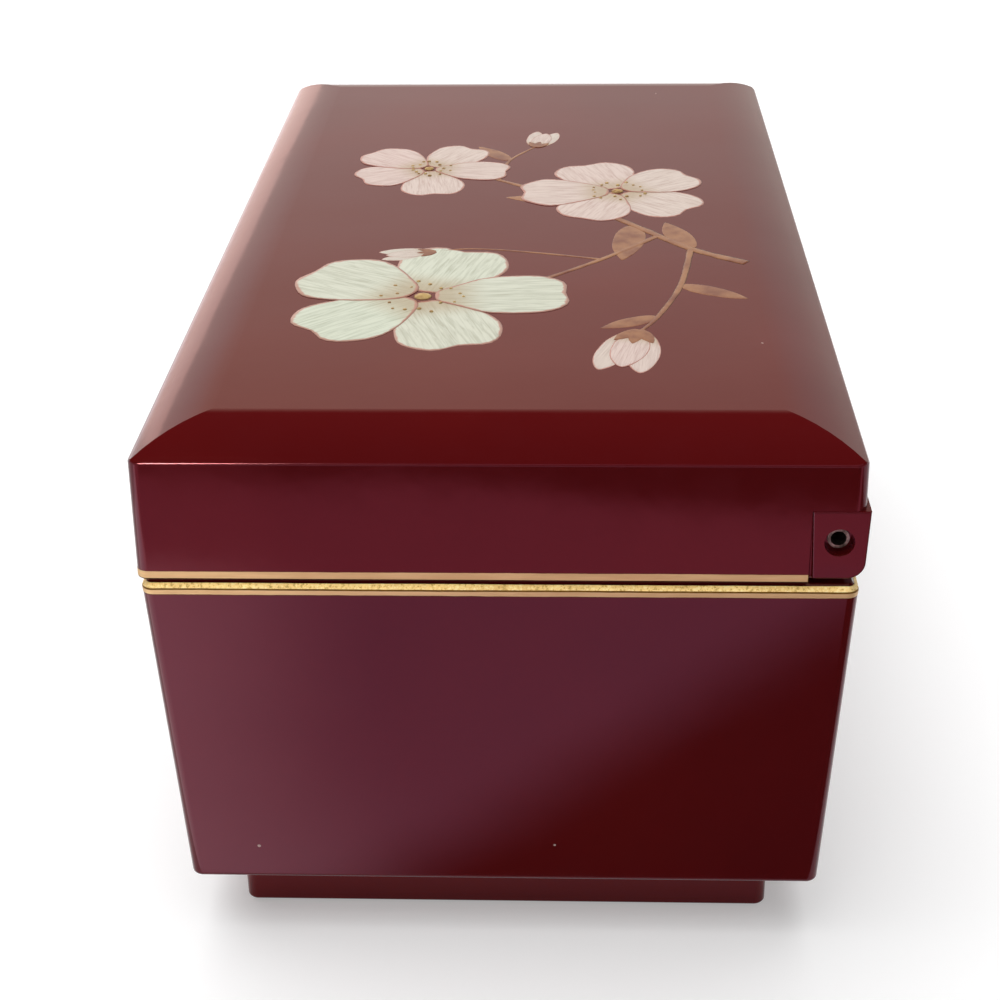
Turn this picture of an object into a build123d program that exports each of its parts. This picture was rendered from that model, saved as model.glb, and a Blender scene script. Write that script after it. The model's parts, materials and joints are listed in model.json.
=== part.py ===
from build123d import *
from math import cos, radians, sin, tan
import os

# A lacquered jewelry box: a tapered case on a set-back plinth, a domed lid with
# mitred hips hinged along the rear, and a shallow drawer in the front.
# Millimetres, +Z up, X along the length, -Y the front, +Y the hinge side.
# The origin is the centre of the felt that the box rests on.

# Overall sizes
box_length = 222.0        # over the rim of the case, along X
box_width = 120.0         # over the rim of the case, along Y
plinth_height = 12.4      # table to the underside of the case
case_height = 64.0        # underside of the case to its rim
lid_side_height = 21.5    # lower edge of the lid to its crisp upper edge

# Case shell
case_wall = 4.0
case_floor = 4.0
case_draft = 2.5          # degrees, the case narrows towards its foot
corner_radius = 2.0
rim_chamfer = 1.2
case_bottom_radius = 1.0

# Lid shell
lid_wall = 4.0
lid_gap = 0.7             # air between the lid and the rim
lid_draft = 0.93          # degrees, the lid widens towards its lower edge
lid_edge_chamfer = 0.3
lid_edge_radius = 0.5     # rounding of the crisp upper edge
bevel_width = 12.5        # plan width of the curved bevel round the flat top
bevel_angle = 36.5        # slope of the bevel at the crisp edge, in degrees

# Gilt lines
gilt_depth = 0.3
case_gilt_drop = 2.45     # rim to the lower edge of the case's line
lid_gilt_rise = 0.1       # the lid's chamfer to the lower edge of its line
lid_gilt_height = 1.35

# Plinth, its felt and screws
plinth_inset = 10.9
plinth_wall = 8.0
plinth_corner_radius = 2.2
plinth_bottom_radius = 0.6
felt_thickness = 0.6
felt_inset = 1.5
plinth_screw_radius = 1.5
plinth_screw_length = 24.0
plinth_screw_margin = 8.0 # side of the plinth to the middle of a screw
plinth_head_radius = 2.4
plinth_head_height = 2.2

# Hinge
pin_inset = 4.1           # rear of the rim to the pin's axis
pin_rise = 8.4            # rim to the pin's axis
pin_radius = 1.8
pin_bore_radius = 1.3
pin_recess = 1.6          # end of the hinge block to the end of the pin
pin_grip = 14.0           # length of a pin inside the rail
pin_running_clearance = 0.05
pin_mouth_radius = 2.5
pin_end_proud = 0.3       # the pin's end stands out of the floor of its mouth
block_length = 16.0
block_front_top = 4.6     # the pin's axis to the block's faces
block_front_bottom = 4.0
block_rear_top = 4.85
block_rear_bottom = 4.45
block_top = 5.7
block_bottom = 6.75
block_corner_radius = 3.0
block_proud = 0.3         # the block's end stands past the rim's end
block_edge_radius = 0.3
block_seam = 0.1          # at the top of the seam beside the block
tongue_height = 3.8
barrel_radius = 4.8
neck_front = 3.6          # the pin's axis to the neck's faces
neck_rear = 4.4
flange_height = 13.0
rail_gap = 0.3
rail_screw_count = 4
rail_screw_radius = 1.25
rail_screw_bite = 3.0     # depth of a screw in the rear wall
rail_head_radius = 2.5
rail_head_height = 1.2

# Drawer opening, guides and shelf
opening_margin = 21.0     # end of the rim to the side of the opening
opening_height = 28.0
sill_height = 2.0         # floor of the case to the sill of the opening
ledge_width = 6.0
shelf_clearance = 0.5     # lintel of the opening to the shelf
shelf_thickness = 2.5

# Drawer
drawer_gap = 0.4          # round the drawer's front
drawer_side_gap = 0.5
drawer_lift = 0.2         # under the drawer's bottom
drawer_back_gap = 0.3
front_back_plane = 5.8    # rear of the drawer's front, behind the rim's front
board_thickness = 2.5
drawer_bottom_thickness = 2.0
drawer_wall_height = 23.0
drawer_felt_thickness = 1.0
drawer_divider_height = 16.0
front_screw_radius = 1.25
front_screw_bite = 2.0
front_screw_spacing = 120.0
front_head_radius = 2.4
front_head_height = 1.3

# Knob
knob_radius = 6.0
knob_front_radius = 4.2   # rounding of the knob's front edge
knob_back_radius = 1.8
knob_neck_radius = 2.8
knob_base_radius = 5.0
knob_base_height = 1.4
knob_base_edge_radius = 0.6
knob_reach = 13.0         # projection in front of the drawer
knob_head_height = 7.0
knob_screw_radius = 1.5
knob_screw_bite = 7.0

# Linings
lining_thickness = 1.6
lining_fit = 0.1
lining_drop = 0.6         # rim to the top of the case's lining
lining_clearance = 0.3    # between the hinge and the linings
floor_lining_thickness = 1.2
lining_radius = 1.0

# Compartments
roll_count = 6
roll_pitch = 13.2
roll_gap = 0.4
roll_height = 13.5
roll_end_radius = 2.5
divider_thickness = 2.4
divider_height = 17.8
divider_offset = -1.2     # of the cross divider, from the middle of the box

# Lid lining and mirror
lid_board_thickness = 2.2
lid_board_drop = 2.3      # flat ceiling of the lid to the top of the board
lid_lining_rise = 0.6     # the lid's lower edge to the bottom of its lining
mirror_length = 150.0
mirror_width = 72.0
mirror_thickness = 2.0
mirror_fit = 0.1
mirror_frame_width = 3.0
mirror_lip_width = 2.0
mirror_lip_thickness = 0.6
mirror_corner_radius = 3.0

# Levels and places that follow
half_length = box_length / 2
half_width = box_width / 2
case_lean = tan(radians(case_draft))
lid_lean = tan(radians(lid_draft))
rim_level = plinth_height + case_height
floor_level = plinth_height + case_floor
sill_level = floor_level + sill_height
lintel_level = sill_level + opening_height
shelf_level = lintel_level + shelf_clearance
shelf_top = shelf_level + shelf_thickness
tray_level = shelf_top + floor_lining_thickness
lining_top = rim_level - lining_drop
lid_bottom = rim_level + lid_gap
lid_edge = lid_bottom + lid_side_height
bevel_radius = bevel_width / sin(radians(bevel_angle))
lid_top = lid_edge + bevel_radius * (1 - cos(radians(bevel_angle)))
pin_y = half_width - pin_inset
pin_z = rim_level + pin_rise
channel_front = pin_y - block_front_top - block_seam
channel_top = pin_z + block_top
opening_length = box_length - 2 * opening_margin
opening_half = opening_length / 2
case_lining_inset = case_wall + lining_fit + lining_thickness
rear_lining_back = pin_y - neck_front - lining_fit
rear_lining_front = rear_lining_back - lining_thickness
lid_rear_back = pin_y - barrel_radius - lining_clearance
lid_rear_front = lid_rear_back - lining_thickness
lid_board_top = lid_top - lid_wall - lid_board_drop
lid_board_bottom = lid_board_top - lid_board_thickness


def case_form(inset, low, high):
    """The tapered outside of the case between two levels, drawn in by an inset."""
    low_shrink = inset + (rim_level - low) * case_lean
    high_shrink = inset + (rim_level - high) * case_lean
    with BuildPart() as form:
        for plane, half, mode in ((Plane.XZ, half_length, Mode.ADD), (Plane.YZ, half_width, Mode.INTERSECT)):
            with BuildSketch(plane):
                Polygon(
                    (low_shrink - half, low),
                    (half - low_shrink, low),
                    (half - high_shrink, high),
                    (high_shrink - half, high),
                    align=None,
                )
            extrude(amount=box_length, both=True, mode=mode)
        fillet(form.edges().group_by(Axis.Z)[1], max(corner_radius - inset, lining_radius))
    return form.part


def case_block(inset):
    """The whole case as a block, with its rim chamfer and rounded lower edge."""
    with BuildPart() as block:
        add(case_form(inset, plinth_height, rim_level))
        chamfer(block.faces().sort_by(Axis.Z)[-1].edges(), rim_chamfer)
        fillet(block.faces().sort_by(Axis.Z)[0].edges(), case_bottom_radius)
    return block.part


def lid_form(inset, low):
    """The domed outside of the lid above a level, drawn in by an inset."""
    ceiling = lid_top - inset
    radius = bevel_radius - inset
    shrink = 2 * (inset - (lid_edge - low) * lid_lean)
    with BuildPart() as form:
        with BuildSketch(Plane.XY.offset(low)):
            Rectangle(box_length - shrink, box_width - shrink)
        extrude(amount=ceiling - low, taper=lid_draft)
        upright = form.edges().filter_by_position(Axis.Z, low + lining_radius, ceiling - lining_radius)
        fillet(upright, max(corner_radius - inset, lining_radius))
        for plane, half, reach in ((Plane.XZ, half_length, box_width), (Plane.YZ, half_width, box_length)):
            flat = half - bevel_width
            end = (
                flat + radius * sin(radians(bevel_angle)),
                ceiling - radius + radius * cos(radians(bevel_angle)),
            )
            outside = (
                end[0] + bevel_width * cos(radians(bevel_angle)),
                end[1] - bevel_width * sin(radians(bevel_angle)),
            )
            with BuildSketch(plane):
                with BuildLine():
                    Line((0, ceiling), (flat, ceiling))
                    CenterArc((flat, ceiling - radius), radius, 90 - bevel_angle, bevel_angle)
                    Line(end, outside)
                    Polyline(outside, (outside[0], low - bevel_width), (0, low - bevel_width))
                    mirror(about=Plane.YZ)
                make_face()
            extrude(amount=reach, both=True, mode=Mode.INTERSECT)
    return form.part


def cut_board(outer, inner, corners, low, high):
    """A lining board: what lies between two forms, inside a plan outline and two levels."""
    with BuildPart() as board:
        add(outer)
        add(inner, mode=Mode.SUBTRACT)
        with BuildSketch(Plane.XY.offset(low)):
            Polygon(*corners, align=None)
        extrude(amount=high - low, mode=Mode.INTERSECT)
    return board.part


def front_corners():
    """Plan outline of a front lining board, mitred at both ends."""
    return (
        (-half_length, -half_width),
        (half_length, -half_width),
        (half_length - half_width, 0),
        (half_width - half_length, 0),
    )


def end_corners(side, rear):
    """Plan outline of an end lining board, mitred in front and square at the rear."""
    outline = (
        (side * box_length, -half_width - half_length),
        (side * (half_length - half_width), 0),
        (side * (half_length - half_width), rear),
        (side * box_length, rear),
    )
    return outline if side > 0 else tuple(reversed(outline))


os.makedirs("parts", exist_ok=True)

# Case gilt line: the rim's chamfer and a narrow band under it
case_outside = case_block(0)
case_under_gilt = case_block(gilt_depth)
with BuildPart() as case_gilt_line:
    add(case_outside)
    add(case_under_gilt, mode=Mode.SUBTRACT)
    with BuildSketch(Plane.XY.offset(rim_level - case_gilt_drop)):
        Rectangle(box_length, box_width)
    extrude(amount=case_gilt_drop, mode=Mode.INTERSECT)
case_gilt_line.part.label = "case_gilt_line"
export_step(case_gilt_line.part, "parts/case_gilt_line.step")

# Plinth screw places, over the middle of the plinth's end bars
plinth_length = box_length - 2 * plinth_inset
plinth_width = box_width - 2 * plinth_inset
plinth_screw_places = GridLocations(
    plinth_length - plinth_wall,
    plinth_width - 2 * plinth_screw_margin,
    2,
    2,
)
plinth_screw_low = felt_thickness + lining_fit
plinth_hole_radius = plinth_screw_radius + lining_fit

# Rail screw places, evenly along the rail's flange
rail_length = box_length - 2 * (block_length + rail_gap)
rail_screw_pitch = rail_length / rail_screw_count
rail_screw_level = rim_level - flange_height / 2
rail_screw_places = [
    ((step + 0.5) * rail_screw_pitch - rail_length / 2, -rail_screw_level) for step in range(rail_screw_count)
]
flange_front = pin_y - neck_front
rear_wall_inner = half_width - case_wall - (rim_level - rail_screw_level) * case_lean
rail_screw_tip = rear_wall_inner + rail_screw_bite

# Case shell: one moulding, open at the top and at the drawer
case_hollow = case_form(case_wall, floor_level, rim_level)
with BuildPart() as case_shell:
    add(case_outside)
    add(case_hollow, mode=Mode.SUBTRACT)
    add(case_gilt_line.part, mode=Mode.SUBTRACT)
    with BuildSketch(Plane.XZ.offset(half_width)):
        with Locations((0, (sill_level + lintel_level) / 2)):
            Rectangle(opening_length, opening_height)
    extrude(amount=-half_width, mode=Mode.SUBTRACT)
    with BuildSketch(Plane.XY.offset(plinth_height)):
        with plinth_screw_places:
            Circle(plinth_hole_radius)
    extrude(amount=case_floor, mode=Mode.SUBTRACT)
    with BuildSketch(Plane.ZX.offset(rear_wall_inner - lining_thickness)):
        with Locations(*[(-place[1], place[0]) for place in rail_screw_places]):
            Circle(rail_screw_radius)
    extrude(amount=rail_screw_bite + lining_thickness, mode=Mode.SUBTRACT)
case_shell.part.label = "case_shell"
export_step(case_shell.part, "parts/case_shell.step")

# Plinth: a frame set back under the case
with BuildPart() as plinth:
    with BuildSketch(Plane.XY.offset(felt_thickness)):
        RectangleRounded(plinth_length, plinth_width, plinth_corner_radius)
    extrude(amount=plinth_height - felt_thickness)
    fillet(plinth.faces().sort_by(Axis.Z)[0].edges(), plinth_bottom_radius)
    with BuildSketch(Plane.XY.offset(felt_thickness)):
        RectangleRounded(
            plinth_length - 2 * plinth_wall,
            plinth_width - 2 * plinth_wall,
            plinth_corner_radius,
        )
    extrude(amount=plinth_height, mode=Mode.SUBTRACT)
    with BuildSketch(Plane.XY.offset(felt_thickness)):
        with plinth_screw_places:
            Circle(plinth_hole_radius)
    extrude(amount=plinth_height, mode=Mode.SUBTRACT)
    with BuildSketch(Plane.XY.offset(felt_thickness)):
        with plinth_screw_places:
            Circle(plinth_head_radius + lining_fit)
    extrude(amount=plinth_head_height + 2 * lining_fit, mode=Mode.SUBTRACT)
plinth.part.label = "plinth"
export_step(plinth.part, "parts/plinth.step")

# Base felt: glued under the plinth, over the screws
with BuildPart() as base_felt:
    with BuildSketch():
        RectangleRounded(
            plinth_length - 2 * felt_inset,
            plinth_width - 2 * felt_inset,
            plinth_corner_radius,
        )
    extrude(amount=felt_thickness)
base_felt.part.label = "base_felt"
export_step(base_felt.part, "parts/base_felt.step")

# Plinth screws: up through the plinth and the floor into the drawer guides
with BuildPart() as plinth_screws:
    with BuildSketch(Plane.XY.offset(plinth_screw_low)):
        with plinth_screw_places:
            Circle(plinth_head_radius)
    extrude(amount=plinth_head_height)
    with BuildSketch(Plane.XY.offset(plinth_screw_low + plinth_head_height)):
        with plinth_screw_places:
            Circle(plinth_screw_radius)
    extrude(amount=plinth_screw_length)
plinth_screws.part.label = "plinth_screws"
export_step(plinth_screws.part, "parts/plinth_screws.step")

# Drawer guides: a block at each end of the opening, with a ledge that carries the drawer
guide_form = case_form(case_wall + lining_fit, floor_level, shelf_level)
guide_hole_top = plinth_screw_low + plinth_head_height + plinth_screw_length + lining_fit
for name, side in (("drawer_guide_left", -1), ("drawer_guide_right", 1)):
    guide_middle = side * (opening_half + half_length) / 2
    ledge_middle = side * (opening_half - ledge_width / 2)
    with BuildPart() as drawer_guide:
        with BuildSketch(Plane.XY.offset(floor_level)):
            with Locations((guide_middle, 0)):
                Rectangle(half_length - opening_half, box_width)
        extrude(amount=shelf_level - floor_level)
        with BuildSketch(Plane.XY.offset(floor_level)):
            with Locations((ledge_middle, 0)):
                Rectangle(ledge_width, box_width)
        extrude(amount=sill_height)
        add(guide_form, mode=Mode.INTERSECT)
        with BuildSketch(Plane.XY.offset(floor_level)):
            with plinth_screw_places:
                Circle(plinth_hole_radius)
        extrude(amount=guide_hole_top - floor_level, mode=Mode.SUBTRACT)
    drawer_guide.part.label = name
    export_step(drawer_guide.part, f"parts/{name}.step")

# Shelf panel: the floor of the upper compartments, on the drawer guides
shelf_form = case_form(case_wall + lining_fit, shelf_level, shelf_top)
with BuildPart() as shelf_panel:
    add(shelf_form)
shelf_panel.part.label = "shelf_panel"
export_step(shelf_panel.part, "parts/shelf_panel.step")

# Floor lining: velvet on card, on the shelf
floor_lining_form = case_form(case_wall + lining_fit, shelf_top, tray_level)
with BuildPart() as floor_lining:
    add(floor_lining_form)
floor_lining.part.label = "floor_lining"
export_step(floor_lining.part, "parts/floor_lining.step")

# Wall linings of the case: velvet on card, mitred in front
lining_outer = case_form(case_wall + lining_fit, tray_level, lining_top)
lining_inner = case_form(case_lining_inset, tray_level, lining_top)
case_boards = (
    ("lining_front", front_corners()),
    ("lining_left", end_corners(-1, rear_lining_back)),
    ("lining_right", end_corners(1, rear_lining_back)),
)
for name, corners in case_boards:
    lining_board = cut_board(lining_outer, lining_inner, corners, tray_level, lining_top)
    lining_board.label = name
    export_step(lining_board, f"parts/{name}.step")

# Rear lining: stands in front of the hinge rail's flange
with BuildPart() as lining_rear:
    with BuildSketch(Plane.XY.offset(tray_level)):
        with Locations((0, (rear_lining_front + rear_lining_back) / 2)):
            Rectangle(box_length, lining_thickness)
    extrude(amount=lining_top - tray_level)
    add(lining_inner, mode=Mode.INTERSECT)
lining_rear.part.label = "lining_rear"
export_step(lining_rear.part, "parts/lining_rear.step")

# Ring rolls: padded rolls across the left bay, with the rings held between them
bay_lean = (rim_level - tray_level) * case_lean
bay_left = -(half_length - case_lining_inset - bay_lean)
bay_front = -(half_width - case_lining_inset - bay_lean)
roll_width = roll_pitch - roll_gap
roll_length = rear_lining_front - bay_front - 2 * roll_gap
roll_middle_y = (rear_lining_front + bay_front) / 2
for number in range(roll_count):
    roll_x = bay_left + roll_gap + (number + 0.5) * roll_pitch
    with BuildPart() as ring_roll:
        with BuildSketch(Plane.XZ.offset(-roll_middle_y)):
            with Locations((roll_x, tray_level + (roll_height - roll_width / 2) / 2)):
                Rectangle(roll_width, roll_height - roll_width / 2)
            with Locations((roll_x, tray_level + roll_height - roll_width / 2)):
                Circle(roll_width / 2)
        extrude(amount=roll_length / 2, both=True)
        ends = ring_roll.faces().filter_by(Axis.Y)
        fillet(ends.edges().filter_by(GeomType.CIRCLE), roll_end_radius)
    ring_roll.part.label = f"ring_roll_{number + 1}"
    export_step(ring_roll.part, f"parts/ring_roll_{number + 1}.step")

# Main divider: from front to rear, beside the ring rolls
divider_left = bay_left + 2 * roll_gap + roll_count * roll_pitch
divider_form = case_form(case_lining_inset + lining_fit, tray_level, lining_top)
with BuildPart() as divider_main:
    with BuildSketch(Plane.XY.offset(tray_level)):
        with Locations((divider_left + divider_thickness / 2, rear_lining_front - lining_fit - half_width)):
            Rectangle(divider_thickness, box_width)
    extrude(amount=divider_height)
    add(divider_form, mode=Mode.INTERSECT)
divider_main.part.label = "divider_main"
export_step(divider_main.part, "parts/divider_main.step")

# Cross divider: from the main divider to the right end
cross_left = divider_left + divider_thickness + lining_fit
with BuildPart() as divider_cross:
    with BuildSketch(Plane.XY.offset(tray_level)):
        with Locations((cross_left + half_length / 2, divider_offset)):
            Rectangle(half_length, divider_thickness)
        with Locations((cross_left + half_length, divider_offset)):
            Rectangle(half_length, divider_thickness)
    extrude(amount=divider_height)
    add(divider_form, mode=Mode.INTERSECT)
divider_cross.part.label = "divider_cross"
export_step(divider_cross.part, "parts/divider_cross.step")

# Hinge rail: a barrel on a neck, with a flange screwed inside the rear wall
flange_form = case_form(case_wall + lining_fit, rim_level - flange_height, rim_level)
with BuildPart() as hinge_rail:
    with BuildSketch(Plane.YZ):
        with Locations(((flange_front + half_width) / 2, rim_level - flange_height / 2)):
            Rectangle(half_width - flange_front, flange_height)
    extrude(amount=rail_length / 2, both=True)
    add(flange_form, mode=Mode.INTERSECT)
    with BuildSketch(Plane.YZ):
        with Locations((pin_y + (neck_rear - neck_front) / 2, rim_level + pin_rise / 2)):
            Rectangle(neck_front + neck_rear, pin_rise)
        with Locations((pin_y, pin_z)):
            Circle(barrel_radius)
    extrude(amount=rail_length / 2, both=True)
    with BuildSketch(Plane.YZ):
        with Locations((pin_y, pin_z)):
            Circle(pin_radius)
    extrude(amount=rail_length / 2, both=True, mode=Mode.SUBTRACT)
    with BuildSketch(Plane.YZ):
        with Locations((pin_y, pin_z)):
            Circle(pin_radius)
    extrude(amount=rail_length / 2 - pin_grip, both=True)
    with BuildSketch(Plane.ZX.offset(flange_front)):
        with Locations(*[(-place[1], place[0]) for place in rail_screw_places]):
            Circle(rail_screw_radius)
    extrude(amount=half_width, mode=Mode.SUBTRACT)
    with BuildSketch(Plane.ZX.offset(flange_front)):
        with Locations(*[(-place[1], place[0]) for place in rail_screw_places]):
            Circle(rail_head_radius)
    extrude(amount=rail_head_height, mode=Mode.SUBTRACT)
hinge_rail.part.label = "hinge_rail"
export_step(hinge_rail.part, "parts/hinge_rail.step")

# Rail screws: flush in the flange, into the rear wall
with BuildPart() as rail_screws:
    with BuildSketch(Plane.ZX.offset(flange_front)):
        with Locations(*[(-place[1], place[0]) for place in rail_screw_places]):
            Circle(rail_head_radius)
    extrude(amount=rail_head_height)
    with BuildSketch(Plane.ZX.offset(flange_front + rail_head_height)):
        with Locations(*[(-place[1], place[0]) for place in rail_screw_places]):
            Circle(rail_screw_radius)
    extrude(amount=rail_screw_tip - flange_front - rail_head_height)
rail_screws.part.label = "rail_screws"
export_step(rail_screws.part, "parts/rail_screws.step")

# Hinge pins: hollow tubes pressed into the rail, turning in the lid's blocks
block_end = half_length + block_proud
pin_outer = block_end - pin_recess
pin_inner = rail_length / 2 - pin_grip
for name, side in (("hinge_pin_left", -1), ("hinge_pin_right", 1)):
    with BuildPart() as hinge_pin:
        with BuildSketch(Plane.YZ.offset(side * pin_inner)):
            with Locations((pin_y, pin_z)):
                Circle(pin_radius)
                Circle(pin_bore_radius, mode=Mode.SUBTRACT)
        extrude(amount=side * (pin_outer - pin_inner))
    hinge_pin.part.label = name
    export_step(hinge_pin.part, f"parts/{name}.step")

# Hinge blocks: the lid's ears, glued into the channel's ends with a tongue inside the lid
tongue_form = lid_form(lid_wall + lining_fit, channel_top)
mouth_floor = pin_outer - pin_end_proud
with BuildPart() as hinge_block_right:
    with BuildSketch(Plane.XY.offset(channel_top)):
        with Locations((half_length - block_length / 2, (channel_front + half_width) / 2)):
            Rectangle(block_length, half_width - channel_front)
    extrude(amount=tongue_height)
    add(tongue_form, mode=Mode.INTERSECT)
    with BuildSketch(Plane.YZ.offset(half_length - block_length)):
        with BuildLine():
            Polyline(
                (pin_y - block_front_bottom, pin_z - block_bottom),
                (pin_y - block_front_top, channel_top),
                (pin_y + block_rear_top, channel_top),
                (pin_y + block_rear_bottom, pin_z - block_bottom),
                close=True,
            )
        make_face()
    extrude(amount=block_length + block_proud)
    lower_rear = hinge_block_right.edges().filter_by(Axis.X).group_by(Axis.Z)[0].sort_by(Axis.Y)[-1]
    fillet(lower_rear, block_corner_radius)
    end_face = hinge_block_right.faces().filter_by(Axis.X).sort_by(Axis.X)[-1]
    fillet(end_face.edges(), block_edge_radius)
    with BuildSketch(Plane.YZ.offset(half_length - block_length)):
        with Locations((pin_y, pin_z)):
            Circle(pin_radius + pin_running_clearance)
    extrude(amount=block_length + block_proud, mode=Mode.SUBTRACT)
    with BuildSketch(Plane.YZ.offset(mouth_floor)):
        with Locations((pin_y, pin_z)):
            Circle(pin_mouth_radius)
    extrude(amount=pin_recess + pin_end_proud, mode=Mode.SUBTRACT)
hinge_block_right.part.label = "hinge_block_right"
export_step(hinge_block_right.part, "parts/hinge_block_right.step")

with BuildPart() as hinge_block_left:
    mirror(hinge_block_right.part, about=Plane.YZ)
hinge_block_left.part.label = "hinge_block_left"
export_step(hinge_block_left.part, "parts/hinge_block_left.step")

# Lid gilt line: round the front and both ends, up to the hinge blocks
lid_gilt_level = lid_bottom + lid_edge_chamfer + lid_gilt_rise
lid_outside = lid_form(0, lid_bottom)
lid_under_gilt = lid_form(gilt_depth, lid_bottom)
with BuildPart() as lid_gilt_line:
    add(lid_outside)
    add(lid_under_gilt, mode=Mode.SUBTRACT)
    with BuildSketch(Plane.XY.offset(lid_gilt_level)):
        with Locations((0, channel_front - box_width)):
            Rectangle(2 * box_length, 2 * box_width)
    extrude(amount=lid_gilt_height, mode=Mode.INTERSECT)
lid_gilt_line.part.label = "lid_gilt_line"
export_step(lid_gilt_line.part, "parts/lid_gilt_line.step")

# Lid shell: a domed moulding, cut away along its rear lower corner for the hinge
lid_hollow = lid_form(lid_wall, lid_bottom)
with BuildPart() as lid_shell:
    add(lid_outside)
    chamfer(lid_shell.faces().sort_by(Axis.Z)[0].edges(), lid_edge_chamfer)
    crisp_low = lid_edge - lid_edge_radius
    crisp_high = lid_edge + corner_radius / 2
    fillet(lid_shell.edges().filter_by_position(Axis.Z, crisp_low, crisp_high), lid_edge_radius)
    add(lid_hollow, mode=Mode.SUBTRACT)
    with BuildSketch(Plane.XY.offset(lid_bottom)):
        with Locations((0, channel_front + box_width / 2)):
            Rectangle(2 * box_length, box_width)
    extrude(amount=channel_top - lid_bottom, mode=Mode.SUBTRACT)
    add(lid_gilt_line.part, mode=Mode.SUBTRACT)
lid_shell.part.label = "lid_shell"
export_step(lid_shell.part, "parts/lid_shell.step")

# Lid lining board: velvet on card under the ceiling, behind the mirror
lid_board_form = lid_form(lid_wall + lining_fit, lid_bottom)
with BuildPart() as lid_lining_top:
    with BuildSketch(Plane.XY.offset(lid_board_bottom)):
        with Locations((0, lid_rear_back - half_width)):
            Rectangle(box_length, box_width)
    extrude(amount=lid_board_thickness)
    add(lid_board_form, mode=Mode.INTERSECT)
lid_lining_top.part.label = "lid_lining_top"
export_step(lid_lining_top.part, "parts/lid_lining_top.step")

# Wall linings of the lid: velvet on card, mitred in front
lid_lining_low = lid_bottom + lid_lining_rise
lid_lining_outer = lid_form(lid_wall + lining_fit, lid_lining_low)
lid_lining_inner = lid_form(lid_wall + lining_fit + lining_thickness, lid_lining_low)
lid_boards = (
    ("lid_lining_front", front_corners()),
    ("lid_lining_left", end_corners(-1, lid_rear_back)),
    ("lid_lining_right", end_corners(1, lid_rear_back)),
)
for name, corners in lid_boards:
    lid_board = cut_board(lid_lining_outer, lid_lining_inner, corners, lid_lining_low, lid_board_bottom)
    lid_board.label = name
    export_step(lid_board, f"parts/{name}.step")

# Rear lining of the lid: clear of the hinge rail as the lid turns
with BuildPart() as lid_lining_rear:
    with BuildSketch(Plane.XY.offset(lid_lining_low)):
        with Locations((0, (lid_rear_front + lid_rear_back) / 2)):
            Rectangle(box_length, lining_thickness)
    extrude(amount=lid_board_bottom - lid_lining_low)
    add(lid_lining_inner, mode=Mode.INTERSECT)
lid_lining_rear.part.label = "lid_lining_rear"
export_step(lid_lining_rear.part, "parts/lid_lining_rear.step")

# Mirror and its frame, in the middle of the lid's lining
mirror_y = (lid_rear_front - half_width + lid_wall + lining_thickness) / 2
mirror_low = lid_board_bottom - mirror_thickness
with BuildPart() as mirror_glass:
    with BuildSketch(Plane.XY.offset(mirror_low)):
        with Locations((0, mirror_y)):
            RectangleRounded(mirror_length, mirror_width, mirror_corner_radius)
    extrude(amount=mirror_thickness)
mirror_glass.part.label = "mirror"
export_step(mirror_glass.part, "parts/mirror.step")

with BuildPart() as mirror_frame:
    with BuildSketch(Plane.XY.offset(mirror_low - mirror_lip_thickness)):
        with Locations((0, mirror_y)):
            RectangleRounded(
                mirror_length + 2 * mirror_frame_width,
                mirror_width + 2 * mirror_frame_width,
                mirror_corner_radius + mirror_frame_width,
            )
            RectangleRounded(
                mirror_length - 2 * mirror_lip_width,
                mirror_width - 2 * mirror_lip_width,
                mirror_corner_radius,
                mode=Mode.SUBTRACT,
            )
    extrude(amount=mirror_lip_thickness + mirror_thickness)
    with BuildSketch(Plane.XY.offset(mirror_low)):
        with Locations((0, mirror_y)):
            RectangleRounded(
                mirror_length + 2 * mirror_fit,
                mirror_width + 2 * mirror_fit,
                mirror_corner_radius + mirror_fit,
            )
    extrude(amount=mirror_thickness, mode=Mode.SUBTRACT)
mirror_frame.part.label = "mirror_frame"
export_step(mirror_frame.part, "parts/mirror_frame.step")

# Drawer levels and places
drawer_low = sill_level + drawer_lift
drawer_half = opening_half - drawer_side_gap
subfront_front = -(half_width - front_back_plane)
drawer_rear = half_width - case_wall - (rim_level - drawer_low) * case_lean - drawer_back_gap
knob_level = (sill_level + lintel_level) / 2
front_height = opening_height - 2 * drawer_gap

# Drawer front: lacquered, its face flush with the tapered case
with BuildPart() as drawer_front:
    with BuildSketch(Plane.XZ.offset(-subfront_front)):
        with Locations((0, knob_level)):
            Rectangle(opening_length - 2 * drawer_gap, front_height)
    extrude(amount=half_width)
    add(case_outside, mode=Mode.INTERSECT)
    with BuildSketch(Plane.XZ.offset(-subfront_front)):
        with Locations((0, knob_level)):
            Circle(knob_screw_radius + lining_fit)
    extrude(amount=half_width, mode=Mode.SUBTRACT)
    with BuildSketch(Plane.XZ.offset(-subfront_front)):
        with Locations((0, knob_level)):
            with GridLocations(front_screw_spacing, 0, 2, 1):
                Circle(front_screw_radius)
    extrude(amount=front_screw_bite, mode=Mode.SUBTRACT)
drawer_front.part.label = "drawer_front"
export_step(drawer_front.part, "parts/drawer_front.step")

# Drawer subfront: the box's own front wall, with holes for three screws
with BuildPart() as drawer_subfront:
    with BuildSketch(Plane.XY.offset(drawer_low)):
        with Locations((0, subfront_front + board_thickness / 2)):
            Rectangle(2 * drawer_half, board_thickness)
    extrude(amount=drawer_wall_height)
    with BuildSketch(Plane.XZ.offset(-subfront_front)):
        with Locations((0, knob_level)):
            Circle(knob_screw_radius + lining_fit)
            with GridLocations(front_screw_spacing, 0, 2, 1):
                Circle(front_screw_radius + lining_fit)
    extrude(amount=-board_thickness, mode=Mode.SUBTRACT)
drawer_subfront.part.label = "drawer_subfront"
export_step(drawer_subfront.part, "parts/drawer_subfront.step")

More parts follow.
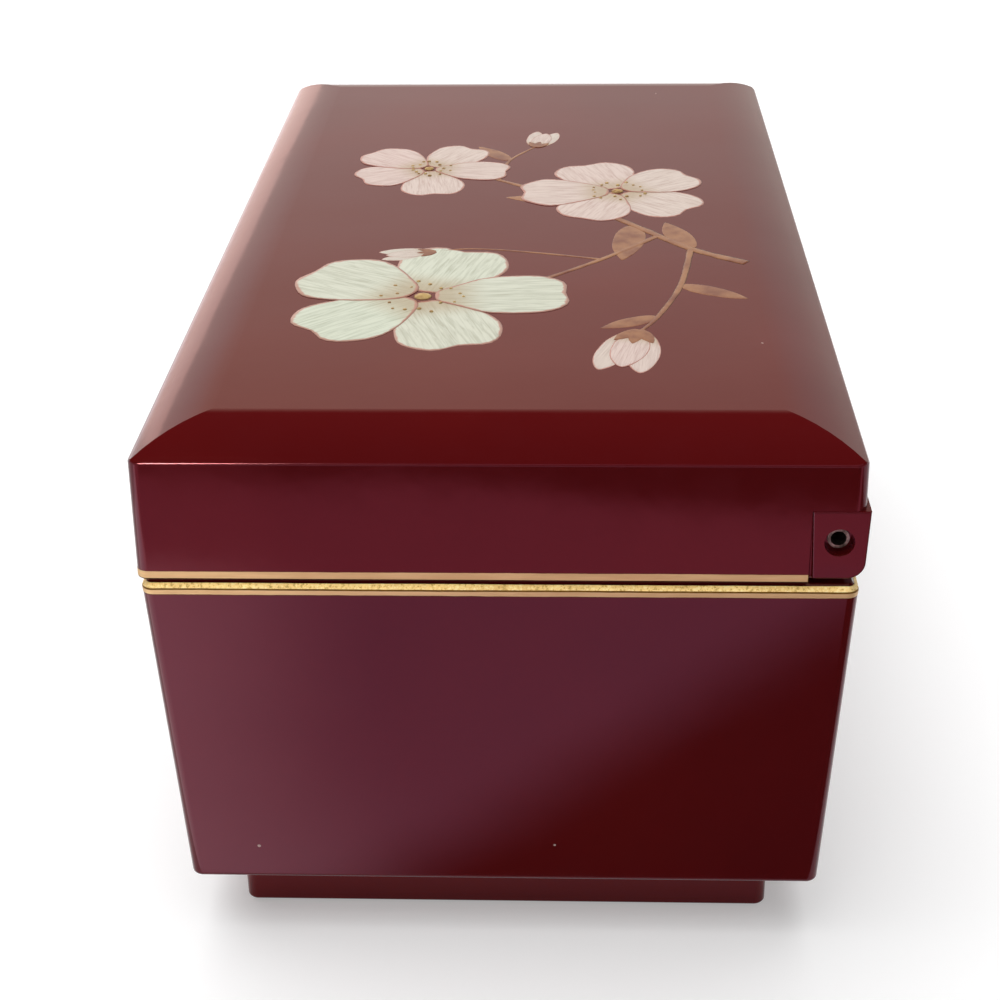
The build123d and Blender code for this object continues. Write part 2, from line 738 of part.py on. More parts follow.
# Drawer sides, back and bottom
box_front = subfront_front + board_thickness
box_back = drawer_rear - board_thickness
for name, side in (("drawer_side_left", -1), ("drawer_side_right", 1)):
    with BuildPart() as drawer_side:
        with BuildSketch(Plane.XY.offset(drawer_low)):
            with Locations((side * (drawer_half - board_thickness / 2), (box_front + box_back) / 2)):
                Rectangle(board_thickness, box_back - box_front)
        extrude(amount=drawer_wall_height)
    drawer_side.part.label = name
    export_step(drawer_side.part, f"parts/{name}.step")

with BuildPart() as drawer_back:
    with BuildSketch(Plane.XY.offset(drawer_low)):
        with Locations((0, (box_back + drawer_rear) / 2)):
            Rectangle(2 * drawer_half, board_thickness)
    extrude(amount=drawer_wall_height)
drawer_back.part.label = "drawer_back"
export_step(drawer_back.part, "parts/drawer_back.step")

inner_length = 2 * (drawer_half - board_thickness)
with BuildPart() as drawer_bottom:
    with BuildSketch(Plane.XY.offset(drawer_low)):
        with Locations((0, (box_front + box_back) / 2)):
            Rectangle(inner_length, box_back - box_front)
    extrude(amount=drawer_bottom_thickness)
drawer_bottom.part.label = "drawer_bottom"
export_step(drawer_bottom.part, "parts/drawer_bottom.step")

# Drawer felt and dividers
drawer_felt_low = drawer_low + drawer_bottom_thickness
with BuildPart() as drawer_felt:
    with BuildSketch(Plane.XY.offset(drawer_felt_low)):
        with Locations((0, (box_front + box_back) / 2)):
            Rectangle(inner_length - 2 * lining_fit, box_back - box_front - 2 * lining_fit)
    extrude(amount=drawer_felt_thickness)
drawer_felt.part.label = "drawer_felt"
export_step(drawer_felt.part, "parts/drawer_felt.step")

for name, side in (("drawer_divider_left", -1), ("drawer_divider_right", 1)):
    with BuildPart() as drawer_divider:
        with BuildSketch(Plane.XY.offset(drawer_felt_low + drawer_felt_thickness)):
            with Locations((side * inner_length / 6, (box_front + box_back) / 2)):
                Rectangle(divider_thickness, box_back - box_front - 2 * lining_fit)
        extrude(amount=drawer_divider_height)
    drawer_divider.part.label = name
    export_step(drawer_divider.part, f"parts/{name}.step")

# Drawer knob: turned, with a base that fits the sloping front
knob_lean = (rim_level - knob_level) * case_lean
knob_face = half_width - knob_lean
knob_neck_length = knob_reach - knob_head_height
knob_bore_end = knob_face + knob_screw_bite
with BuildPart() as drawer_knob:
    with BuildSketch(Plane.XZ.offset(knob_face - knob_base_radius / 2)):
        with Locations((0, knob_level)):
            Circle(knob_base_radius)
    extrude(amount=knob_base_radius / 2 + knob_base_height)
    fillet(drawer_knob.faces().sort_by(Axis.Y)[0].edges(), knob_base_edge_radius)
    with BuildSketch(Plane.XZ.offset(knob_face)):
        with Locations((0, knob_level)):
            Circle(knob_neck_radius)
    extrude(amount=knob_neck_length)
    with BuildSketch(Plane.XZ.offset(knob_face + knob_neck_length)):
        with Locations((0, knob_level)):
            Circle(knob_radius)
    extrude(amount=knob_head_height)
    rims = drawer_knob.edges().filter_by(GeomType.CIRCLE).filter_by(lambda edge: edge.radius == knob_radius)
    fillet(rims.sort_by(Axis.Y)[0], knob_front_radius)
    rims = drawer_knob.edges().filter_by(GeomType.CIRCLE).filter_by(lambda edge: edge.radius == knob_radius)
    fillet(rims.sort_by(Axis.Y)[-1], knob_back_radius)
    add(case_outside, mode=Mode.SUBTRACT)
    with BuildSketch(Plane.XZ.offset(-subfront_front)):
        with Locations((0, knob_level)):
            Circle(knob_screw_radius)
    extrude(amount=knob_bore_end + subfront_front, mode=Mode.SUBTRACT)
drawer_knob.part.label = "drawer_knob"
export_step(drawer_knob.part, "parts/drawer_knob.step")

# Knob screw and front screws, all put in from inside the drawer
with BuildPart() as knob_screw:
    with BuildSketch(Plane.XZ.offset(-box_front)):
        with Locations((0, knob_level)):
            Circle(front_head_radius)
    extrude(amount=-front_head_height)
    with BuildSketch(Plane.XZ.offset(-box_front)):
        with Locations((0, knob_level)):
            Circle(knob_screw_radius)
    extrude(amount=knob_bore_end + box_front)
knob_screw.part.label = "knob_screw"
export_step(knob_screw.part, "parts/knob_screw.step")

with BuildPart() as front_screws:
    with BuildSketch(Plane.XZ.offset(-box_front)):
        with Locations((0, knob_level)):
            with GridLocations(front_screw_spacing, 0, 2, 1):
                Circle(front_head_radius)
    extrude(amount=-front_head_height)
    with BuildSketch(Plane.XZ.offset(-box_front)):
        with Locations((0, knob_level)):
            with GridLocations(front_screw_spacing, 0, 2, 1):
                Circle(front_screw_radius)
    extrude(amount=board_thickness + front_screw_bite)
front_screws.part.label = "front_screws"
export_step(front_screws.part, "parts/front_screws.step")
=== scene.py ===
import json
import math
import random

import bmesh
import bpy
import numpy as np
from mathutils import Matrix, Vector, noise

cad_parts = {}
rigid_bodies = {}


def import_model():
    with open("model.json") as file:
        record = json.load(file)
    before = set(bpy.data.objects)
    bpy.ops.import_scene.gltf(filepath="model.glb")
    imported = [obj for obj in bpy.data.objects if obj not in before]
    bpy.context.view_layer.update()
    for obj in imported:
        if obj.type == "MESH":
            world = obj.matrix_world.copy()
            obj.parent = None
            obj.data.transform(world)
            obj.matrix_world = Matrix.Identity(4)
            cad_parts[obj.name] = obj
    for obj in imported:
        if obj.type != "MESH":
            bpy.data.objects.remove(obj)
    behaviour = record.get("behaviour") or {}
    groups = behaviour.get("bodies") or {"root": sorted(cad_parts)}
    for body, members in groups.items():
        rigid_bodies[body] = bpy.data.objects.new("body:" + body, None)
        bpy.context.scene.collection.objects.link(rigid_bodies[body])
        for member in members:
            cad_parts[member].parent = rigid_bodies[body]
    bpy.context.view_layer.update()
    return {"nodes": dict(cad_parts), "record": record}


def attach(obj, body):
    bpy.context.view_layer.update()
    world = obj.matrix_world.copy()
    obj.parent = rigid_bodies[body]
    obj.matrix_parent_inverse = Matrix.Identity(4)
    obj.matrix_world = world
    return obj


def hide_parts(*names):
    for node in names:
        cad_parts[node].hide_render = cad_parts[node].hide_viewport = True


# A lacquered jewelry box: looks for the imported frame. Metres, +Z up, the near end
# of the photograph is +X, the hinge side +Y, the drawer side -Y.

for leftover in list(bpy.data.objects):
    bpy.data.objects.remove(leftover)
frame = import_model()
nodes = frame["nodes"]
MM = 0.001                    # a millimetre, in metres


# Camera: fitted to the edges of the box in the photograph
CAMERA_PLACE = (0.38444, 0.01177, 0.23540)
CAMERA_TURN = 92.334          # degrees about Z, 90 looks along -X
CAMERA_TILT = 62.395          # degrees from straight down
CAMERA_ROLL = -0.834
CAMERA_LENS = 68.55


def make_camera():
    data = bpy.data.cameras.new("camera")
    data.lens = CAMERA_LENS
    data.sensor_width = 36
    data.clip_start = 0.01
    data.clip_end = 50
    camera = bpy.data.objects.new("camera", data)
    camera.matrix_world = (
        Matrix.Translation(CAMERA_PLACE)
        @ Matrix.Rotation(math.radians(CAMERA_TURN), 4, "Z")
        @ Matrix.Rotation(math.radians(CAMERA_TILT), 4, "X")
        @ Matrix.Rotation(math.radians(CAMERA_ROLL), 4, "Z")
    )
    bpy.context.scene.collection.objects.link(camera)
    bpy.context.scene.camera = camera


# Node graphs, built from short calls
class Graph:
    """A material's or the world's node tree."""

    def __init__(self, name, world=False):
        kind = bpy.data.worlds if world else bpy.data.materials
        self.owner = kind.new(name)
        self.owner.use_nodes = True
        self.tree = self.owner.node_tree
        self.coords = None
        self.split = None
        self.shader = None if world else self.tree.nodes["Principled BSDF"]

    def node(self, kind, **settings):
        made = self.tree.nodes.new("ShaderNode" + kind)
        for key, value in settings.items():
            setattr(made, key, value)
        return made

    def put(self, socket, value):
        if isinstance(value, bpy.types.NodeSocket):
            self.tree.links.new(value, socket)
        elif isinstance(value, (tuple, list)) and len(value) == 3 and socket.type == "RGBA":
            socket.default_value = (*value, 1)
        else:
            socket.default_value = value

    def set(self, **values):
        """Sets the shader's own sockets; an underscore stands for a space."""
        for key, value in values.items():
            self.put(self.shader.inputs[key.replace("_", " ")], value)

    def place(self):
        """Position in the object's own space, in metres."""
        if self.coords is None:
            self.coords = self.node("TexCoord").outputs["Object"]
        return self.coords

    def axis(self, name):
        """X, Y or Z of that position."""
        if self.split is None:
            self.split = self.node("SeparateXYZ")
            self.put(self.split.inputs[0], self.place())
        return self.split.outputs[name]

    def math(self, operation, a, b=0.0, c=0.0):
        made = self.node("Math", operation=operation)
        for socket, value in zip(made.inputs, (a, b, c)):
            self.put(socket, value)
        return made.outputs[0]

    def band(self, value, low, high, to_low=0.0, to_high=1.0):
        """Smooth step of a value from low to high."""
        made = self.node("MapRange", interpolation_type="SMOOTHSTEP")
        for socket, number in zip(made.inputs, (value, low, high, to_low, to_high)):
            self.put(socket, number)
        return made.outputs[0]

    def mix(self, share, a, b, blend="MIX"):
        made = self.node("Mix", data_type="RGBA", blend_type=blend)
        self.put(made.inputs[0], share)
        self.put(made.inputs[6], a)
        self.put(made.inputs[7], b)
        return made.outputs[2]

    def attribute(self, name):
        return self.node("Attribute", attribute_name=name).outputs["Fac"]

    def noise(self, scale, detail=2.0, rough=0.5, distortion=0.0, vector=None):
        made = self.node("TexNoise")
        self.put(made.inputs["Vector"], vector or self.place())
        self.put(made.inputs["Scale"], scale)
        self.put(made.inputs["Detail"], detail)
        self.put(made.inputs["Roughness"], rough)
        self.put(made.inputs["Distortion"], distortion)
        return made.outputs["Fac"]

    def stretched(self, x, y, z):
        """The position with each axis scaled, to draw a noise out along one of them."""
        made = self.node("Mapping")
        self.put(made.inputs["Vector"], self.place())
        made.inputs["Scale"].default_value = (x, y, z)
        return made.outputs[0]

    def specks(self, scale, size, share):
        """Sparse round specks: one cell in so many holds one."""
        made = self.node("TexVoronoi")
        self.put(made.inputs["Vector"], self.place())
        self.put(made.inputs["Scale"], scale)
        chosen = self.node("SeparateColor")
        self.put(chosen.inputs[0], made.outputs["Color"])
        picked = self.math("LESS_THAN", chosen.outputs[0], share)
        grown = self.math("MULTIPLY", chosen.outputs[1], size)
        inside = self.math("LESS_THAN", made.outputs["Distance"], grown)
        return self.math("MULTIPLY", picked, inside)

    def bump(self, height, strength=0.3, distance=0.0002, under=None):
        made = self.node("Bump")
        self.put(made.inputs["Strength"], strength)
        self.put(made.inputs["Distance"], distance)
        self.put(made.inputs["Height"], height)
        if under is not None:
            self.put(made.inputs["Normal"], under)
        return made.outputs[0]


# Stage: floor, world and lamps
WHITE = (1.0, 1.0, 1.0)
WORLD_LOW = (0.91, 0.84, 0.77)        # pale wall round the set, as gloss shows it
WORLD_WARM = (0.98, 0.75, 0.58)       # the same wall higher up
WORLD_SHADE = (0.64, 0.61, 0.55)      # the same wall on the hinge side
WORLD_HIGH = (0.030, 0.022, 0.022)    # dark above the lamps
WORLD_FILL = (0.24, 0.24, 0.245)      # what matt surfaces get from all round
WARM_FROM = (0.25, 0.45)              # sine of the height where the wall turns warm
WALL_TOP = (0.435, 0.56)              # and where it ends
SHADE_FROM = (-0.22, 0.55)            # share of +Y in a direction, where the shade sets in
FLOOR_REACH = 6.0
FLOOR_GREY = (0.74, 0.74, 0.74)
FLOOR_GLOW = (0.45, 1.8, 0.32, 1.0)   # distances, and how white the floor looks at each


def make_world():
    graph = Graph("studio", world=True)
    background = graph.tree.nodes["Background"]
    direction = graph.node("TexCoord").outputs["Generated"]
    split = graph.node("SeparateXYZ")
    graph.put(split.inputs[0], direction)
    rise = graph.band(split.outputs["Z"], *WALL_TOP)
    hinge_side = graph.band(split.outputs["Y"], *SHADE_FROM)
    warmer = graph.band(split.outputs["Z"], *WARM_FROM)
    wall = graph.mix(hinge_side, graph.mix(warmer, WORLD_LOW, WORLD_WARM), WORLD_SHADE)
    room = graph.mix(rise, wall, WORLD_HIGH)
    path = graph.node("LightPath")
    ambient = graph.mix(path.outputs["Is Diffuse Ray"], room, WORLD_FILL)
    seen = graph.math("MAXIMUM", path.outputs["Is Camera Ray"], path.outputs["Is Transmission Ray"])
    colour = graph.mix(seen, ambient, WHITE)
    graph.put(background.inputs["Color"], colour)
    background.inputs["Strength"].default_value = 1.0
    bpy.context.scene.world = graph.owner


def make_flat(name, low, high):
    """A level rectangle between two corners."""
    mesh = bpy.data.meshes.new(name)
    (x0, y0), (x1, y1) = low, high
    mesh.from_pydata([(x0, y0, 0), (x1, y0, 0), (x1, y1, 0), (x0, y1, 0)], [], [(0, 1, 2, 3)])
    flat = bpy.data.objects.new(name, mesh)
    bpy.context.scene.collection.objects.link(flat)
    return flat


def make_floor():
    """A plain pale floor, which keeps the object's shadow."""
    floor = make_flat("floor", (-FLOOR_REACH, -FLOOR_REACH), (FLOOR_REACH, FLOOR_REACH))
    graph = Graph("floor_paper")
    path = graph.node("LightPath")
    seen = graph.math("MAXIMUM", path.outputs["Is Camera Ray"], path.outputs["Is Glossy Ray"])
    seen = graph.math("MAXIMUM", seen, path.outputs["Is Transmission Ray"])
    spread = graph.node("VectorMath", operation="LENGTH")
    graph.put(spread.inputs[0], graph.place())
    white = graph.band(spread.outputs["Value"], *FLOOR_GLOW)
    graph.set(
        Base_Color=FLOOR_GREY,
        Roughness=0.9,
        Specular_IOR_Level=0.0,
        Emission_Color=WHITE,
        Emission_Strength=graph.math("MULTIPLY", seen, white),
    )
    floor.data.materials.append(graph.owner)


LAMP_AIM = (0, 0, 0.06)


def make_lamp(name, place, size, radiance, colour=(1, 1, 1), gloss=True, diffuse=True):
    """A soft box of so many metres, with its brightness as a surface."""
    data = bpy.data.lights.new(name, "AREA")
    data.shape = "RECTANGLE"
    data.size, data.size_y = size
    data.energy = radiance * math.pi * size[0] * size[1]
    data.color = colour
    lamp = bpy.data.objects.new(name, data)
    lamp.location = place
    lamp.rotation_mode = "QUATERNION"
    lamp.rotation_quaternion = (Vector(LAMP_AIM) - Vector(place)).to_track_quat("-Z", "Y")
    lamp.visible_glossy = gloss
    lamp.visible_diffuse = diffuse
    lamp.visible_camera = False
    bpy.context.scene.collection.objects.link(lamp)
    return lamp


CARD_LOW, CARD_HIGH = (0.121, -0.25), (0.45, 0.25)
CARD_LIFT = 0.0006
CARD_BASE = (0.02, 0.015, 0.015)
CARD_STRENGTH = 4.0
# Glows on the card: lean, the values of lean * X + Y where the glow begins and where it is full,
# the same values of X, and its colour
CARD_GLOWS = (
    (0.25, (0.023, -0.046), (0.270, 0.252), (0.48, 0.54, 0.43)),       # a pale window
    (-1.15, (-0.142, -0.186), (0.255, 0.230), (0.30, 0.28, 0.35)),     # purple beside it
)
# The rosy one, which the lid's wall shows, is bounded by X + lean * Y
ROSY_LEAN, ROSY_ACROSS, ROSY_FROM = 0.12, (0.311, 0.299), (0.230, 0.255)
ROSY_TONE = (0.41, 0.205, 0.225)


def make_glow():
    """A card on the floor in front of the box, seen only in its gloss: lighter on the left."""
    card = make_flat("glow_card", CARD_LOW, CARD_HIGH)
    card.location.z = CARD_LIFT
    card.visible_camera = card.visible_diffuse = card.visible_shadow = False
    graph = Graph("glow_card")
    x, y = graph.axis("X"), graph.axis("Y")
    cloud = graph.math("MULTIPLY_ADD", graph.noise(17, 2, 0.5), 0.020, -0.010)
    shares = []
    for lean, across, along, tone in CARD_GLOWS:
        line = graph.math("MULTIPLY_ADD", x, lean, graph.math("ADD", y, cloud))
        share = graph.math("MULTIPLY", graph.band(line, *across), graph.band(x, *along))
        shares.append((share, tone))
    line = graph.math("MULTIPLY_ADD", y, ROSY_LEAN, graph.math("ADD", x, cloud))
    share = graph.math("MULTIPLY", graph.band(line, *ROSY_ACROSS), graph.band(x, *ROSY_FROM))
    shares.append((share, ROSY_TONE))
    glow = CARD_BASE
    for share, tone in shares:
        glow = graph.mix(1.0, glow, graph.mix(share, (0.0, 0.0, 0.0), tone), "ADD")
    graph.set(
        Base_Color=(0, 0, 0),
        Roughness=1.0,
        Specular_IOR_Level=0.0,
        Emission_Color=glow,
        Emission_Strength=CARD_STRENGTH,
    )
    card.data.materials.append(graph.owner)


def make_lamps():
    """Returns the strip lamp, which is linked to the polished edges at the end."""
    make_lamp("lamp_top", (-0.30, -0.35, 1.9), (2.4, 2.4), 2.85, gloss=False)
    make_lamp("lamp_wall", (-1.75, -0.72, 0.10), (0.62, 0.55), 0.72, (1.0, 0.58, 0.50))
    make_lamp("lamp_front", (0.85, 0.05, 1.35), (1.1, 0.45), 1.5)
    return make_lamp(
        "lamp_edge", (1.083, -0.355, 0.913), (0.10, 0.8), 95.0, (1.0, 1.0, 0.62), diffuse=False
    )


# Materials
LACQUER_IOR = 1.42


def lacquer(name, dark, light):
    """Polished lacquer: a little cloudy and wavy, with sparse pale specks."""
    graph = Graph(name)
    cloud = graph.noise(14, 3, 0.5)
    deep = graph.band(cloud, 0.35, 0.65)
    colour = graph.mix(deep, dark, light)
    fleck = graph.specks(75, 0.035, 0.28)
    colour = graph.mix(graph.math("MULTIPLY", fleck, 0.75), colour, (0.60, 0.48, 0.42))
    rubbed = graph.noise(160, 4, 0.6)
    gloss = graph.band(rubbed, 0.3, 0.75, 0.075, 0.12)
    uneven = graph.bump(graph.noise(26, 1, 0.4), 0.30, 0.0007)
    graph.set(
        Base_Color=colour,
        Roughness=graph.math("ADD", gloss, graph.math("MULTIPLY", fleck, 0.4)),
        IOR=LACQUER_IOR,
        Specular_Tint=(0.95, 0.32, 0.52),
        Normal=graph.bump(graph.noise(230, 2, 0.5), 0.05, 0.0002, under=uneven),
    )
    return graph.owner


def gilt(name, dull, bright, metal, rough, glints=0.0):
    """Gold paint or leaf; glints sets the leaf's grain: dark spots, and pale spots that are painted
    glints.
    """
    graph = Graph(name)
    streak = graph.noise(420, 3, 0.55, vector=graph.stretched(0.2, 0.2, 2.5))
    colour = graph.mix(graph.band(streak, 0.3, 0.7), dull, bright)
    if glints:
        # Dark spots for the leaf's grain, and pale spots that are painted glints
        grain = graph.noise(1700, 3, 0.7)
        colour = graph.mix(graph.band(grain, 0.47, 0.36, 0.0, glints), colour, (0.54, 0.33, 0.09))
        colour = graph.mix(graph.band(grain, 0.52, 0.64, 0.0, glints), colour, (1.0, 0.86, 0.55))
    graph.set(
        Base_Color=colour,
        Metallic=metal,
        Roughness=graph.band(graph.noise(300, 2), 0.3, 0.7, rough, rough + 0.1),
        Normal=graph.bump(streak, 0.08, 0.0001),
    )
    return graph.owner


def worn_gilt(name, low, high):
    """The ochre ground under the leaf, bare between its edges; lacquer beyond low and high."""
    graph = Graph(name)
    patch = graph.band(graph.noise(900, 3), 0.3, 0.7)
    ground = graph.mix(patch, (0.15, 0.065, 0.003), (0.22, 0.105, 0.010))
    above = graph.math("GREATER_THAN", graph.axis("Z"), low * MM)
    covered = graph.math("MULTIPLY", above, graph.math("LESS_THAN", graph.axis("Z"), high * MM))
    graph.set(
        Base_Color=graph.mix(covered, (0.086, 0.0040, 0.0041), ground),
        Roughness=graph.math("MULTIPLY_ADD", covered, 0.55, 0.10),
        IOR=LACQUER_IOR,
        Specular_Tint=(0.95, 0.55, 0.40),
    )
    return graph.owner


def lip_shade():
    """The lid's lower edge, dull and darker than the lacquer: painted shade for the gap over the
    rim.
    """
    graph = Graph("lip_shade")
    patch = graph.band(graph.noise(500, 3), 0.3, 0.7)
    graph.set(
        Base_Color=graph.mix(patch, (0.030, 0.0020, 0.0010), (0.046, 0.0030, 0.0012)),
        Roughness=0.85,
        Specular_IOR_Level=0.1,
    )
    return graph.owner


def steel():
    graph = Graph("dark_steel")
    grime = graph.band(graph.noise(900, 4, 0.6), 0.35, 0.7)
    graph.set(
        Base_Color=graph.mix(grime, (0.24, 0.20, 0.18), (0.075, 0.050, 0.042)),
        Metallic=0.85,
        Roughness=graph.band(grime, 0, 1, 0.3, 0.55),
    )
    return graph.owner


def velvet():
    graph = Graph("wine_velvet")
    pile = graph.noise(5200, 2, 0.7)
    brushed = graph.band(graph.noise(55, 3, 0.6, 0.8), 0.35, 0.65)
    colour = graph.mix(brushed, (0.115, 0.008, 0.018), (0.20, 0.018, 0.035))
    graph.set(
        Base_Color=graph.mix(graph.math("MULTIPLY", pile, 0.35), colour, (0.03, 0.003, 0.006)),
        Roughness=0.95,
        Specular_IOR_Level=0.2,
        Sheen_Weight=0.7,
        Sheen_Roughness=0.4,
        Sheen_Tint=(0.85, 0.30, 0.36),
        Normal=graph.bump(pile, 0.5, 0.0003),
    )
    return graph.owner


def brass():
    graph = Graph("turned_brass")
    dull = graph.band(graph.noise(320, 4, 0.6), 0.42, 0.75)
    graph.set(
        Base_Color=graph.mix(dull, (0.80, 0.55, 0.22), (0.55, 0.34, 0.13)),
        Metallic=1.0,
        Roughness=graph.band(dull, 0, 1, 0.14, 0.34),
        Normal=graph.bump(graph.noise(2600, 2), 0.04, 0.00005),
    )
    return graph.owner


def screw_steel():
    graph = Graph("zinc_steel")
    worn = graph.band(graph.noise(700, 4, 0.6), 0.35, 0.7)
    graph.set(
        Base_Color=graph.mix(worn, (0.55, 0.55, 0.56), (0.34, 0.33, 0.32)),
        Metallic=1.0,
        Roughness=graph.band(worn, 0, 1, 0.25, 0.45),
    )
    return graph.owner


def looking_glass():
    graph = Graph("silvered_glass")
    haze = graph.band(graph.noise(45, 4, 0.6), 0.5, 0.8)
    graph.set(
        Base_Color=graph.mix(haze, (0.74, 0.77, 0.78), (0.64, 0.66, 0.67)),
        Metallic=1.0,
        Roughness=graph.band(haze, 0, 1, 0.015, 0.06),
    )
    return graph.owner


def wood(name, light, dark, along, gloss=0.55):
    graph = Graph(name)
    grain = graph.noise(150, 5, 0.6, 1.2, vector=graph.stretched(*along))
    pore = graph.noise(1400, 2, 0.6, vector=graph.stretched(*along))
    tone = graph.mix(graph.band(grain, 0.3, 0.7), light, dark)
    graph.set(
        Base_Color=graph.mix(graph.band(pore, 0.55, 0.75, 0, 0.5), tone, dark),
        Roughness=graph.band(grain, 0.2, 0.8, gloss, gloss + 0.2),
        Normal=graph.bump(pore, 0.25, 0.0002),
    )
    return graph.owner


def felt():
    graph = Graph("brown_felt")
    fibre = graph.noise(2400, 4, 0.75, 1.5)
    graph.set(
        Base_Color=graph.mix(fibre, (0.030, 0.020, 0.016), (0.075, 0.052, 0.042)),
        Roughness=1.0,
        Specular_IOR_Level=0.1,
        Sheen_Weight=0.3,
        Sheen_Roughness=0.6,
        Normal=graph.bump(fibre, 0.7, 0.0004),
    )
    return graph.owner


def petal_paint():
    """Pale petals: streaks along them, a shade towards the heart, a fine pink outline."""
    graph = Graph("petal_paint")
    rim = graph.attribute("rim")
    along = graph.attribute("along")
    across = graph.attribute("across")
    blush = graph.attribute("blush")
    vein = graph.node("CombineXYZ")
    lengthwise = graph.math("MULTIPLY", along, 1.2)
    crosswise = graph.math("MULTIPLY", across, 7.0)
    for socket, value in zip(vein.inputs, (lengthwise, crosswise, blush)):
        graph.put(socket, value)
    streak = graph.band(graph.noise(2.6, 4, 0.6, 0.6, vector=vein.outputs[0]), 0.4, 0.72)
    pale = graph.mix(blush, (0.56, 0.60, 0.49), (0.60, 0.47, 0.43))
    shade = graph.mix(blush, (0.33, 0.36, 0.27), (0.40, 0.25, 0.22))
    colour = graph.mix(graph.math("MULTIPLY", streak, 0.7), pale, shade)
    heart = graph.band(along, 0.42, 0.08)
    colour = graph.mix(graph.math("MULTIPLY", heart, 0.7), colour, (0.36, 0.27, 0.16))
    ragged = graph.math("MULTIPLY", graph.noise(420, 2), 0.10)
    outline = graph.band(graph.math("ADD", rim, ragged), 0.985, 1.02)
    colour = graph.mix(graph.math("MULTIPLY", outline, 0.8), colour, (0.42, 0.17, 0.13))
    graph.set(
        Base_Color=colour,
        Roughness=0.22,
        IOR=LACQUER_IOR,
        Normal=graph.bump(streak, 0.2, 0.0001),
    )
    return graph.owner


def stem_paint():
    graph = Graph("stem_paint")
    wash = graph.band(graph.noise(160, 4, 0.6), 0.35, 0.7)
    colour = graph.mix(wash, (0.30, 0.135, 0.065), (0.17, 0.055, 0.032))
    graph.set(
        Base_Color=colour,
        Roughness=0.25,
        IOR=LACQUER_IOR,
        Normal=graph.bump(wash, 0.15, 0.0001),
    )
    return graph.owner


def stamen_paint():
    graph = Graph("stamen_paint")
    patch = graph.band(graph.noise(900, 2), 0.35, 0.7)
    graph.set(Base_Color=graph.mix(patch, (0.50, 0.34, 0.13), (0.30, 0.16, 0.06)), Roughness=0.3)
    return graph.owner


# Mesh pieces
def closed_mesh(name, points, faces):
    """A mesh whose faces all look outward."""
    mesh = bpy.data.meshes.new(name)
    mesh.from_pydata([tuple(p) for p in points], [], faces)
    outward = bmesh.new()
    outward.from_mesh(mesh)
    bmesh.ops.recalc_face_normals(outward, faces=outward.faces)
    outward.to_mesh(mesh)
    outward.free()
    return mesh


def cloud_of(node):
    """The points of a CAD node, in millimetres."""
    return np.array([v.co for v in nodes[node].data.vertices]) / MM


def add_piece(name, points, faces, body, look, replaces=(), attributes=None, flat=False):
    """A piece from points in millimetres. Attributes give its material a value at each point."""
    mesh = closed_mesh(name, points * MM, faces)
    mesh.polygons.foreach_set("use_smooth", [not flat] * len(mesh.polygons))
    for key, values in (attributes or {}).items():
        layer = mesh.attributes.new(key, "FLOAT", "POINT")
        layer.data.foreach_set("value", np.asarray(values, np.float32))
    mesh.materials.append(look)
    mesh.validate()
    obj = bpy.data.objects.new(name, mesh)
    bpy.context.scene.collection.objects.link(obj)
    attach(obj, body)
    if replaces:
        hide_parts(*replaces)
    return obj


def loops_to_faces(count, rows, closed_rows=False, closed_loop=True, start=0):
    """Quads between rows of points, each row a loop of count points."""
    faces = []
    for row in range(rows if closed_rows else rows - 1):
        a, b = start + row * count, start + (row + 1) % rows * count
        for i in range(count if closed_loop else count - 1):
            j = (i + 1) % count
            faces.append((a + i, a + j, b + j, b + i))
    return faces


# Gilt lines: thin leaf over the inlaid lines, with hand-painted edges. Millimetres from here on.
CASE_LEAN = 0.04366           # how far the case's wall leans out, per height
LID_LEAN = 0.01623            # how far the lid's wall leans in, per height
RIM = 76.4                    # top of the case
LID_LOW = 77.1                # lower edge of the lid
LID_EDGE = 98.6               # top of the lid's wall, where HALF_LENGTH and HALF_WIDTH hold
HALF_LENGTH, HALF_WIDTH, CORNER = 111.0, 60.0, 2.0
RIM_CHAMFER = 1.2
BLOCK_FRONT = 51.2            # where the lid's line meets the hinge blocks
LINE_GATE = BLOCK_FRONT - 0.06
BAND_LOW = RIM - 2.15         # where the gold on the case's wall ends
LEAF_TOP = 0.40               # how far under the rim the leaf on its chamfer stops
LID_BAND_LOW, LID_BAND_HIGH = LID_LOW + 0.4, LID_LOW + 1.7
PROUD, SUNK = 0.035, -0.05    # a leaf's face over the wall, and its back in it
TIGHT_FROM, LEAST_CORNER = 0.3, 0.6   # rows set in further have a tighter corner, down to this


def outline(half_x, half_y, radius, step=0.8, turns=9):
    """Points and outward directions round a rounded rectangle, from the rear of the +X end."""
    stations = []
    corners = ((1, 1, 0), (-1, 1, 90), (-1, -1, 180), (1, -1, 270))
    halves = (half_x, half_y) * 2
    full = (HALF_LENGTH, HALF_WIDTH) * 2
    for (sx, sy, start), half, most in zip(corners, halves, full):
        cx, cy = sx * (half_x - radius), sy * (half_y - radius)
        for k in range(turns + 1):
            angle = math.radians(start + 90 * k / turns)
            out = (math.cos(angle), math.sin(angle))
            stations.append((cx + radius * out[0], cy + radius * out[1], *out))
        run = 2 * (half - radius)
        count = int(2 * (most - CORNER) / step)  # the same in every row of a leaf
        out = (math.cos(math.radians(start + 90)), math.sin(math.radians(start + 90)))
        first = stations[-1]
        for k in range(1, count):
            back = run * k / count
            stations.append((first[0] - out[1] * back, first[1] + out[0] * back, *out))
    return stations


def wobble(x, y, seed, size):
    """A small smooth wander along a line, about as large as size."""
    slow = noise.noise(Vector((x * 0.055, y * 0.055, seed)))
    quick = noise.noise(Vector((x * 0.35, y * 0.35, seed + 7)))
    return size * (slow + 0.45 * quick)


